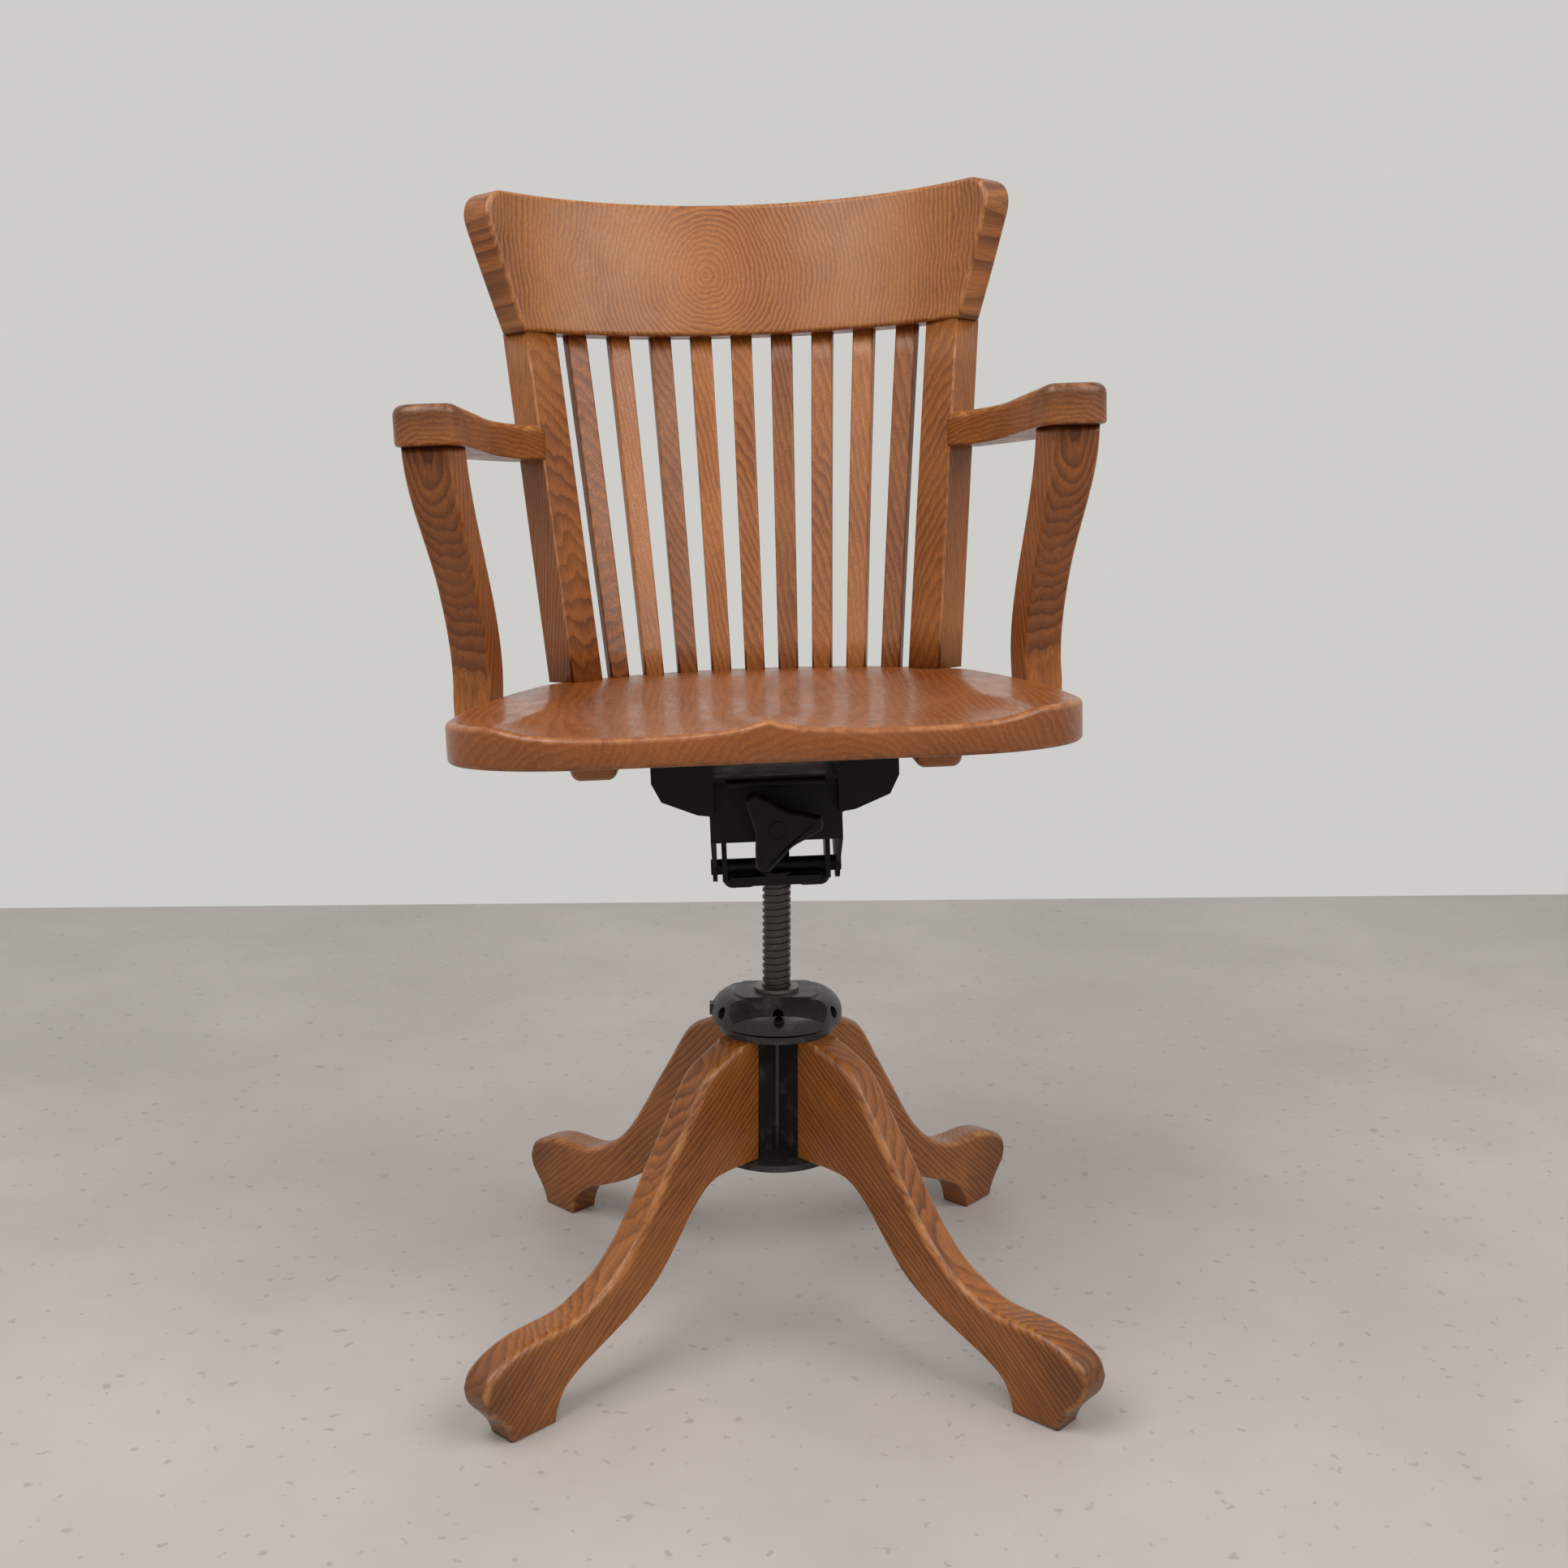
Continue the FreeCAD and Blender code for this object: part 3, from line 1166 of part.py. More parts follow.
def slat_corners(index, t):
    """Plan corners of a slat at a share t of its height."""
    pitch = size("slat_foot_pitch") + (size("slat_top_pitch") - size("slat_foot_pitch")) * t
    width = size("slat_foot_width") + (size("slat_top_width") - size("slat_foot_width")) * t
    x = index * pitch
    foot_y = arc_point(size("slat_foot_y"), size("slat_foot_arc"), index * size("slat_foot_pitch"))
    top_arc = size("crest_arc") + size("slat_setback")
    top_y = arc_point(size("crest_y") + size("slat_setback"), top_arc, index * size("slat_top_pitch"))
    y = foot_y + (top_y - foot_y) * t + size("slat_bow") * math.sin(math.pi * t)
    arc = size("slat_foot_arc") + (top_arc - size("slat_foot_arc")) * t
    turn = -math.degrees(math.asin(x / arc))
    half_w = width / 2
    half_t = size("slat_thickness") / 2
    corners = []
    for dx, dy in ((-half_w, -half_t), (half_w, -half_t), (half_w, half_t), (-half_w, half_t)):
        rx, ry = turned(turn, dx, dy)
        corners.append((x + rx, y + ry))
    return corners


def build_back():
    foot = f"seat_z + {WOOD_JOINT}"
    for side, sign in SIDES:
        sections = [(foot, stile_corners(sign, 0)), ("seat_z + back_height", stile_corners(sign, 1))]
        stile = loft_body("stile_" + side, sections, ruled=True)
        keep(in_frame(stile, WOOD_FRAME), "stile_" + side)
    count = int(size("slat_count"))
    for i in range(count):
        index = i - (count - 1) / 2
        sections = [
            (foot, slat_corners(index, 0)),
            ("seat_z + back_height / 2", slat_corners(index, 0.5)),
            ("seat_z + back_height", slat_corners(index, 1)),
        ]
        slat = loft_body(f"slat_{i + 1}", sections)
        keep(in_frame(slat, WOOD_FRAME), f"slat_{i + 1}")
    build_crest()


def crest_section(half, y):
    """Plan band of the crest rail: front arc, square ends, rear arc."""
    inner = size("crest_arc")
    outer = inner + size("crest_thickness")
    a = math.asin(half / inner)
    centre_y = y - inner

    def at(radius, angle):
        return (radius * math.sin(angle), centre_y + radius * math.cos(angle))

    return [
        at(inner, -a),
        (at(inner, 0), at(inner, a)),
        at(outer, a),
        (at(outer, 0), at(outer, -a)),
    ]


def build_crest():
    rake = math.tan(math.radians(size("crest_rake"))) * size("crest_height")
    sections = [
        ("seat_z + back_height", crest_section(size("crest_foot_half"), size("crest_y"))),
        ("seat_z + back_height + crest_height", crest_section(size("crest_top_half"), size("crest_y") + rake)),
    ]
    body = loft_body("crest_band", sections, ruled=True)
    top = seat_z + size("back_height") + size("crest_height")
    low = seat_z + size("back_height")
    tools = [crest_corner_tool(side, sign, low, top) for side, sign in SIDES]
    cornered = cut("crest_cornered", body, tools)
    keep(in_frame(cornered, WOOD_FRAME), "crest_rail")


def crest_corner_tool(side, sign, low, top):
    """What is cut off an upper corner of the crest rail, square to the rail's end."""
    inner = size("crest_arc")
    rake = math.tan(math.radians(size("crest_rake"))) * size("crest_height")
    foot_a = math.asin(size("crest_foot_half") / inner)
    top_a = math.asin(size("crest_top_half") / inner)
    middle_a = (foot_a + 2 * top_a) / 3
    foot = Vector(inner * math.sin(foot_a), size("crest_y") - inner + inner * math.cos(foot_a), 0)
    head = Vector(inner * math.sin(top_a), size("crest_y") + rake - inner + inner * math.cos(top_a), 0)
    along = Vector(math.cos(middle_a), -math.sin(middle_a), 0)
    flare = math.atan2((head - foot).dot(along), top - low)
    # The end leans out by the flare, so the rounding turns through a little more than a right angle.
    radius = size("crest_corner")
    reach = radius * math.tan((math.pi / 2 + flare) / 2)
    corner = Vector(0, 0, top)
    on_top = Vector(-reach, 0, top)
    on_end = Vector(-reach * math.sin(flare), 0, top - reach * math.cos(flare))
    centre = Vector(-reach, 0, top - radius)
    half_turn = (math.pi / 2 + flare) / 2
    middle = centre + Vector(radius * math.sin(half_turn), 0, radius * math.cos(half_turn))
    over = 20
    outline = Part.Wire([
        Part.Arc(on_top, middle, on_end).toShape(),
        Part.makePolygon([
            on_end,
            on_end + Vector(over, 0, -over * math.tan(flare)),
            corner + Vector(over, 0, over),
            Vector(-reach, 0, top + over),
            on_top,
        ]),
    ])
    tool = Part.Face(outline).extrude(Vector(0, 3 * size("crest_thickness"), 0))
    tool.translate(Vector(0, -size("crest_thickness"), 0))
    tool.rotate(Vector(), UP, math.degrees(math.atan2(along.y, along.x)))
    tool.translate(head)
    if sign < 0:
        tool = tool.mirror(Vector(), X_AXIS)
    return feature("crest_corner_" + side, tool)


# arms and their posts

def post_corners(sign, t, width):
    """Plan corners of a post at a share t of its height above the seat, negative below it."""
    waist = size("post_waist") * math.sin(math.pi * min(max(t, 0), 1) ** 0.8)
    x = size("post_foot_x") + (size("post_top_x") - size("post_foot_x")) * smooth(t) - waist
    y = size("post_foot_y") + (size("post_top_y") - size("post_foot_y")) * smooth(t)
    turn = size("post_turn")
    corners = []
    for dx, dy in ((0, 0), (width, 0), (width, size("post_depth")), (0, size("post_depth"))):
        rx, ry = turned(turn, dx, dy)
        corners.append((sign * (x + rx), y + ry))
    return corners


def post_screw_drill(side, sign, name):
    """The hole of the screw that runs level through a post into the seat's side."""
    y, z = post_screw_line()
    return cylinder(
        f"{name}_post_drill_{side}", "wood_screw_radius + drill_gap", "80",
        f"{sign} * (post_foot_x - post_screw_reach - 1)", y, z, Vector(sign, 0, 0),
    )


def post_screw_line():
    return "post_foot_y + post_depth / 2 + 6", "seat_z - seat_thickness / 2"


def build_arms():
    seat_tool, _ = seat_blank("seat_housing", "seat_z - seat_thickness - 5", f"seat_thickness + 5 + {WOOD_JOINT}")
    screws = []
    for side, sign in SIDES:
        sections = []
        for t in (-0.13, 0, 0.25, 0.5, 0.75, 1):
            share = smooth((t - 0.45) / 0.5)
            width = size("post_foot_width") + (size("post_top_width") - size("post_foot_width")) * share
            height = f"seat_z + arm_height * {t}" if t else "seat_z"
            sections.append((height, post_corners(sign, t, width)))
        blank = loft_body(f"post_{side}_blank", sections)
        y, z = post_screw_line()
        axis = Vector(sign, 0, 0)
        head_x = f"{sign} * (post_foot_x + 20)"
        sink = cylinder(f"post_sink_{side}", "wood_screw_head + drill_gap", "40", head_x, y, z, axis)
        post = cut(f"post_{side}", blank, [seat_tool, post_screw_drill(side, sign, "post"), sink])
        keep(in_frame(post, WOOD_FRAME), f"post_{side}")

        start = f"{sign} * (post_foot_x - post_screw_reach)"
        shank = cylinder(
            f"post_screw_shank_{side}", "wood_screw_radius", "post_screw_reach + 21", start, y, z, axis,
        )
        head = cylinder(f"post_screw_head_{side}", "wood_screw_head", "3", head_x, y, z, axis)
        screws.append(fuse(f"post_screw_{side}", [shank, head]))
        build_arm(side, sign)
    keep(in_frame(group("post_screws", screws), WOOD_FRAME), "post_screws")


def build_arm(side, sign):
    """An arm: a flat board whose plan runs back from the post and curves in to the stile."""
    name = "arm_" + side
    inner = size("arm_inner")
    outer = size("arm_outer")
    front = -size("arm_front")
    nose = size("arm_nose")
    share = size("arm_height") / size("back_height")
    ridge, back_outer, _, _ = [(abs(x), y) for x, y in stile_corners(1, share)]
    body = doc.addObject("PartDesign::Body", name + "_board")
    sketch = sketch_on(body, "XY_Plane", name + "_plan", "seat_z + arm_height")

    def point(x, y):
        return Vector(sign * x, y, 0)

    outer_run = [
        point(outer, front + nose),
        point(outer - 4, front + 100),
        point(outer - 13, 110),
        point(outer - 36, 175),
        point(back_outer[0] + 6, back_outer[1] + 3),
    ]
    inner_run = [
        point(ridge[0] + 2, ridge[1] + 14),
        point(ridge[0] - 2, ridge[1] - 4),
        point(inner - 16, 150),
        point(inner - 4, 92),
        point(inner - 2, 20),
        point(inner, front + nose),
    ]
    for run in (outer_run, inner_run):
        curve = Part.BSplineCurve()
        curve.interpolate(run)
        sketch.addGeometry(curve, False)
    sketch.addGeometry(Part.LineSegment(outer_run[-1], inner_run[0]), False)
    diag = nose * (1 - math.sqrt(0.5))
    inner_nose = nose * 0.7
    inner_diag = inner_nose * (1 - math.sqrt(0.5))
    front_in = point(inner + inner_nose, front)
    front_out = point(outer - nose, front)
    sketch.addGeometry(Part.LineSegment(inner_run[-1], point(inner, front + inner_nose)), False)
    sketch.addGeometry(Part.Arc(
        point(inner, front + inner_nose), point(inner + inner_diag, front + inner_diag), front_in,
    ), False)
    sketch.addGeometry(Part.LineSegment(front_in, front_out), False)
    sketch.addGeometry(Part.Arc(front_out, point(outer - diag, front + diag), outer_run[0]), False)
    board = pad(body, sketch, name + "_block", "arm_thickness")
    doc.recompute()
    top = seat_z + size("arm_height") + size("arm_thickness")

    def upper_edge(edge):
        bounds = edge.BoundBox
        level = bounds.ZMin > top - 0.01
        at_stile = bounds.YMin > ridge[1] + 5
        return level and not at_stile

    round_edges(body, board, name + "_eased", edge_names(board.Shape, upper_edge), "arm_round")
    low = "seat_z + arm_height - 10"
    housing = loft_body(name + "_stile_housing", [
        ("seat_z + 1", stile_corners(sign, 0)),
        ("seat_z + back_height", stile_corners(sign, 1)),
    ], ruled=True)
    keep(in_frame(cut(name, body, [housing]), WOOD_FRAME), name)


build_base()
build_head()
build_screw()
build_yoke()
build_iron()
build_tension()
build_seat()
build_cleats()
build_back()
build_arms()
doc.recompute()

# checks, then one file for each sub-part

os.makedirs("parts", exist_ok=True)
for obj in doc.Objects:
    for problem in ("Invalid", "Error"):
        if problem in obj.State:
            raise RuntimeError(f"{obj.Label} did not recompute: {obj.State}")
for node in nodes:
    if node.Shape.isNull() or not node.Shape.isValid() or not node.Shape.Solids:
        raise RuntimeError(f"{node.Label} has no valid shape")
    print(node.Label, len(node.Shape.Solids), round(node.Shape.Volume), "mm3")
for node in nodes:
    node.Shape.exportStep(f"parts/{node.Label}.step")
print(len(nodes), "sub-parts")
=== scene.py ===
import math

import bmesh
import bpy
from mathutils import Matrix, Vector


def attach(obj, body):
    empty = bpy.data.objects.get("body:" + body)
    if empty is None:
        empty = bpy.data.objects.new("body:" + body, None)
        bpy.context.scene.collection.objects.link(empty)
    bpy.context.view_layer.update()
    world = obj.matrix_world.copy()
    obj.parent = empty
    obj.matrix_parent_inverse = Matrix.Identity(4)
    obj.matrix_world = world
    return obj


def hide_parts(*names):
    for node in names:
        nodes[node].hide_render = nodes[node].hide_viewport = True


# Bankers swivel chair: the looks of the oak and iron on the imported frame.
# Shapes are worked out in millimetres in upright drawing positions, then leaned into place.

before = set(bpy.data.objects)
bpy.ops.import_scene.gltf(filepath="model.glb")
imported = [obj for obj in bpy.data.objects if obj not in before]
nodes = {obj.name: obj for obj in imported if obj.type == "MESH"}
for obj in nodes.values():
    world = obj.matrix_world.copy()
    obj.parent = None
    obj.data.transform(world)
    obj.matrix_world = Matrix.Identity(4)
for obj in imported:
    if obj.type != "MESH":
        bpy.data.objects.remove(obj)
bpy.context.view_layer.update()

MM = 0.001

# heights and frames, as in the CAD
YOKE_Z = 397.3
ROD_Z = YOKE_Z + 15
SEAT_THICKNESS = 33
SEAT_Z = ROD_Z + 123.7 + SEAT_THICKNESS
SIDE_LEAN = 2
REST_SLOPE = 1.15
SEAT_SHIFT = -8
SIDES = (("left", -1), ("right", 1))


def turn_about(centre_z, angle, axis):
    """A turn by an angle in degrees about a level axis through the middle at a height."""
    there = Matrix.Translation((0, 0, centre_z))
    return there @ Matrix.Rotation(math.radians(angle), 4, axis) @ there.inverted()


IRON_FRAME = turn_about(YOKE_Z, -SIDE_LEAN, "Y") @ turn_about(ROD_Z, -REST_SLOPE, "X")
WOOD_FRAME = IRON_FRAME @ Matrix.Translation((SEAT_SHIFT, 0, 0))


# small helpers

def smooth(t):
    """An S-shaped run from 0 to 1."""
    t = min(max(t, 0.0), 1.0)
    return t * t * (3 - 2 * t)


def blend(a, b, t):
    return a + (b - a) * t


def turned(angle, x, y):
    """Turns a plan vector by an angle in degrees."""
    a = math.radians(angle)
    return Vector((x * math.cos(a) - y * math.sin(a), x * math.sin(a) + y * math.cos(a)))


def curve_through(points, per):
    """A smooth open line through points, with per steps between each two."""
    points = [Vector(p) for p in points]
    ends = [2 * points[0] - points[1]] + points + [2 * points[-1] - points[-2]]
    line = []
    for i in range(1, len(ends) - 2):
        p0, p1, p2, p3 = ends[i - 1:i + 3]
        for k in range(per):
            t = k / per
            line.append(0.5 * (
                2 * p1 + (p2 - p0) * t + (2 * p0 - 5 * p1 + 4 * p2 - p3) * t ** 2
                + (3 * p1 - p0 - 3 * p2 + p3) * t ** 3
            ))
    return line + [points[-1]]


def rounded(corners, radius, steps=3):
    """A polygon's outline with its corners rounded; also how near each point is to a corner."""
    ring = []
    edge = []
    for i, here in enumerate(corners):
        to_before = (corners[i - 1] - here).normalized()
        to_after = (corners[(i + 1) % len(corners)] - here).normalized()
        start = here + to_before * radius
        end = here + to_after * radius
        for k in range(steps + 1):
            t = k / steps
            ring.append(start.lerp(here, t).lerp(here.lerp(end, t), t))
            edge.append(1 - abs(2 * t - 1))
    return ring, edge


def inward(outline):
    """Unit vectors pointing into a closed plan outline at each of its points."""
    area = sum(a.x * b.y - b.x * a.y for a, b in zip(outline, outline[1:] + outline[:1]))
    side = 1 if area > 0 else -1
    normals = []
    for i, here in enumerate(outline):
        before = here - outline[i - 1]
        after = outline[(i + 1) % len(outline)] - here
        run = before.normalized() + after.normalized()
        normals.append(Vector((-run.y, run.x)).normalized() * side)
    return normals


class Piece:
    """A closed form grown ring by ring in mm. Each point keeps its place in the tree and its wear and
    painted edge highlight.
    """

    def __init__(self, place, grain, tone=None):
        self.place = place
        self.grain = grain
        self.tone = tone or (lambda p: 0.0)
        self.form = bmesh.new()
        self.in_tree = self.form.verts.layers.float_vector.new("grain")
        self.look = self.form.verts.layers.float_vector.new("look")

    def put(self, verts, points, wear_and_highlight=0.0):
        """Moves vertices to points; the wear and painted edge highlight is one value or a list of them."""
        wears_and_highlights = wear_and_highlight if isinstance(wear_and_highlight, list) else [wear_and_highlight] * len(points)
        for vert, point, worn in zip(verts, points, wears_and_highlights):
            vert.co = self.place @ point * MM
            vert[self.in_tree] = self.grain(point) * MM
            vert[self.look] = (self.tone(point), worn, 0)

    def edges(self, ring):
        return [self.form.edges.get(pair) for pair in zip(ring, ring[1:] + ring[:1])]

    def ring(self, points, wear_and_highlight=0.0):
        """The first ring that a form grows from."""
        ring = bmesh.ops.create_circle(self.form, segments=len(points), radius=1)["verts"]
        self.put(ring, points, wear_and_highlight)
        return ring

    def grow(self, ring, points, wear_and_highlight=0.0):
        """Extrudes a ring to its next place."""
        made = bmesh.ops.extrude_edge_only(self.form, edges=self.edges(ring))["geom"]
        fresh = {item for item in made if isinstance(item, bmesh.types.BMVert)}
        grown = []
        for vert in ring:
            reached = [edge.other_vert(vert) for edge in vert.link_edges]
            grown.append(next(other for other in reached if other in fresh))
        self.put(grown, points, wear_and_highlight)
        return grown

    def cap(self, ring):
        return bmesh.ops.edgeloop_fill(self.form, edges=self.edges(ring))["faces"]

    def stack(self, rings, wears_and_highlights):
        """Rings joined one after the other and capped at both ends."""
        ring = self.ring(rings[0], wears_and_highlights[0])
        self.cap(ring)
        for points, wear_and_highlight in zip(rings[1:], wears_and_highlights[1:]):
            ring = self.grow(ring, points, wear_and_highlight)
        self.cap(ring)

    def make(self, name, body, stands_for, material):
        bmesh.ops.recalc_face_normals(self.form, faces=self.form.faces)
        mesh = bpy.data.meshes.new(name)
        self.form.to_mesh(mesh)
        self.form.free()
        mesh.shade_smooth()
        mesh.materials.append(material)
        obj = bpy.data.objects.new(name, mesh)
        bpy.context.scene.collection.objects.link(obj)
        facing = obj.modifiers.new("even shading", "WEIGHTED_NORMAL")
        facing.keep_sharp = False
        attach(obj, body)
        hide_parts(*stands_for)


def slab(piece, outline, low, high, low_round, high_round, to_space, steps=4):
    """A board from a plan outline, its edges rounded by one radius or by a list of one per point."""
    normals = inward(outline)
    count = len(outline)
    low_rounds = low_round if isinstance(low_round, list) else [low_round] * count
    high_rounds = high_round if isinstance(high_round, list) else [high_round] * count
    rings = []
    wears_and_highlights = []
    for level, sign, rounds in ((low, 1, low_rounds), (high, -1, high_rounds)):
        group = []
        for k in range(steps + 1):
            a = math.pi / 2 * k / steps
            points = []
            for p, n, r in zip(outline, normals, rounds):
                q = p + n * r * (1 - math.sin(a))
                points.append(to_space(q.x, q.y, level + sign * r * (1 - math.cos(a))))
            group.append((points, math.sin(2 * a)))
        if sign < 0:
            group.reverse()
        rings += [points for points, _ in group]
        wears_and_highlights += [wear_and_highlight for _, wear_and_highlight in group]
    piece.stack(rings, wears_and_highlights)


def bar(piece, sections, radius):
    """An upright bar lofted through sections, each a height and its plan corners."""
    rings = []
    wears_and_highlights = []
    for z, corners in sections:
        ring, edge = rounded(corners, radius)
        rings.append([Vector((p.x, p.y, z)) for p in ring])
        wears_and_highlights.append(edge)
    piece.stack(rings, wears_and_highlights)


def lathe(piece, profile, to_space, count=48):
    """A turned solid from (radius, height) points, first and last on the axis or near it."""
    rings = []
    for radius, level in profile:
        ring = []
        for i in range(count):
            a = 2 * math.pi * i / count
            ring.append(to_space(radius * math.cos(a), radius * math.sin(a), level))
        rings.append(ring)
    piece.stack(rings, [0.0] * len(rings))


# materials

def colour(code):
    """A hex colour as linear RGBA."""
    values = []
    for i in (1, 3, 5):
        c = int(code[i:i + 2], 16) / 255
        values.append(c / 12.92 if c <= 0.04045 else ((c + 0.055) / 1.055) ** 2.4)
    return (*values, 1.0)


def add(tree, kind, inputs=None, **settings):
    """Adds a node with its settings; an input is a value or another node, whose first output is linked."""
    node = tree.nodes.new("ShaderNode" + kind)
    for key, value in settings.items():
        setattr(node, key, value)
    for key, value in (inputs or {}).items():
        if isinstance(value, bpy.types.Node):
            value = value.outputs[0]
        if isinstance(value, bpy.types.NodeSocket):
            tree.links.new(value, node.inputs[key])
        else:
            node.inputs[key].default_value = value
    return node


def blank_material(name):
    material = bpy.data.materials.new(name)
    material.use_nodes = True
    material.node_tree.nodes.clear()
    return material


# the oak's patterns: length along the fibres and width across them in mm, detail and roughness
OAK_PATTERNS = {
    "waver": (200, 45.45, 3.0, 0.55),
    "wide": (500, 166.7, 1.0, 0.5),
    "pores": (18.18, 0.6667, 2.0, 0.6),
    "fibres": (71.43, 2.632, 4.0, 0.6),
    "clouds": (111.1, 62.5, 3.0, 0.5),
    "rubbing_and_highlight": (25, 11.11, 4.0, 0.65),
    "smears": (40, 16.67, 3.0, 0.5),
}
# how dark a growth ring is on its way from early to late wood
RING_STOPS = ((0.0, 0.25), (0.22, 0.0), (0.75, 0.75), (0.93, 1.0), (1.0, 0.25))
PORE_BROWN = "#3a1e0f"
# a dark stain, also painted as shade on the seat's underside and on the post and stile tops
DARK_STAIN_AND_SHADE = "#3b1d10"
# pale rubbed oak, also painted on the rounded edges as a highlight
RUBBED_OAK_AND_HIGHLIGHT = "#c98d54"


def oak(name, light, middle, dark, gloss, ring_width, ring_strength):
    """Oak under old varnish. Dark rings about ring_width mm apart, short open pores, pale edges that are
    partly rubbed wear and partly a painted highlight.

    The grain attribute is a point's place in the tree: along, across and through from its heart, in metres.
    The look attribute is its stain and painted shade (below 0 darker, above 0 lighter) and its wear and
    painted edge highlight.
    """
    material = blank_material(name)
    tree = material.node_tree
    grain = add(tree, "Attribute", attribute_name="grain").outputs["Vector"]
    look = add(tree, "Attribute", attribute_name="look").outputs["Vector"]
    tone, wear_and_highlight, _ = add(tree, "SeparateXYZ", {0: look}).outputs
    _, across, through = add(tree, "SeparateXYZ", {0: grain}).outputs
    noise = {}
    for pattern, (length, width, detail, roughness) in OAK_PATTERNS.items():
        per_metre = (1000 / length, 1000 / width, 1000 / width)
        stretched = add(tree, "VectorMath", {0: grain, 1: per_metre}, operation="MULTIPLY")
        inputs = {"Vector": stretched, "Scale": 1.0, "Detail": detail, "Roughness": roughness}
        noise[pattern] = add(tree, "TexNoise", inputs).outputs["Fac"]

    # growth rings round the heart, wavering along the board
    across = add(tree, "Math", {0: across, 1: 2.0}, operation="POWER")
    through = add(tree, "Math", {0: through, 1: 2.0}, operation="POWER")
    distance = add(tree, "Math", {0: across, 1: through}, operation="ADD")
    distance = add(tree, "Math", {0: distance}, operation="SQRT")
    rings = add(tree, "Math", {0: distance, 1: ring_width * MM}, operation="DIVIDE")
    for pattern, shift in (("waver", 4.5), ("wide", 5.0)):
        moved = add(tree, "Math", {0: noise[pattern], 1: shift}, operation="MULTIPLY")
        rings = add(tree, "Math", {0: rings, 1: moved}, operation="ADD")
    phase = add(tree, "Math", {0: rings}, operation="FRACT")
    late = add(tree, "ValToRGB", {"Fac": phase})
    stops = late.color_ramp.elements
    stops[1].position = RING_STOPS[-1][0]
    for position, _ in RING_STOPS[1:-1]:
        stops.new(position)
    for stop, (_, level) in zip(stops, RING_STOPS):
        stop.color = (level, level, level, 1)

    # open pores, thickest in the early wood
    pores = add(tree, "MapRange", {"Value": noise["pores"], "From Min": 0.52, "From Max": 0.66})
    early = add(tree, "MapRange", {
        "Value": late, "From Min": 0.25, "From Max": 0.9, "To Min": 1.0, "To Max": 0.35,
    })
    pores = add(tree, "Math", {0: pores, 1: early}, operation="MULTIPLY")

    # edges painted pale in patches, partly rubbed wear and partly a painted highlight
    rubbed_and_highlit = add(tree, "MapRange", {"Value": noise["rubbing_and_highlight"], "From Min": 0.42, "From Max": 0.62})
    rubbed_and_highlit = add(tree, "Math", {0: rubbed_and_highlit, 1: wear_and_highlight}, operation="MULTIPLY")

    # the colour, layer over layer: what shows the layer, from which value to which, how much, and its colour
    wood = colour(middle)
    for source, low, high, most, layer in (
        (late, 0.0, 1.0, ring_strength, dark),
        (noise["clouds"], 0.35, 0.7, 0.4, light),
        (noise["fibres"], 0.35, 0.75, 0.38, dark),
        (pores, 0.0, 1.0, 0.55, PORE_BROWN),
        (tone, 0.0, 1.0, 1.0, light),
        # below 0 it darkens: a stain, and painted shade on the seat's underside and the post and stile tops
        (tone, 0.0, -1.0, 0.85, DARK_STAIN_AND_SHADE),
        # pale edges, partly rubbed wear and partly a painted highlight
        (rubbed_and_highlit, 0.0, 1.0, 0.45, RUBBED_OAK_AND_HIGHLIGHT),
    ):
        share = add(tree, "MapRange", {"Value": source, "From Min": low, "From Max": high, "To Max": most})
        inputs = {0: share, 6: wood, 7: colour(layer)}
        wood = add(tree, "Mix", inputs, data_type="RGBA").outputs[2]

    roughness = add(tree, "MapRange", {
        "Value": noise["smears"], "From Min": 0.3, "From Max": 0.75, "To Min": gloss, "To Max": gloss + 0.16,
    })
    relief = add(tree, "Math", {0: noise["fibres"], 1: 0.25}, operation="MULTIPLY")
    relief = add(tree, "Math", {0: relief, 1: pores}, operation="SUBTRACT")
    bump = add(tree, "Bump", {"Height": relief, "Strength": 0.35, "Distance": 0.25 * MM})
    shader = add(tree, "BsdfPrincipled", {
        "Base Color": wood, "Roughness": roughness, "Specular IOR Level": 0.35,
        "Coat Weight": 0.12, "Coat Roughness": gloss * 0.7, "Normal": bump,
    })
    add(tree, "OutputMaterial", {"Surface": shader})
    return material


# iron and steel: clouds of wear and a fine grit, both in mm
METAL_CLOUD = 16.67
METAL_GRIT = 1.111


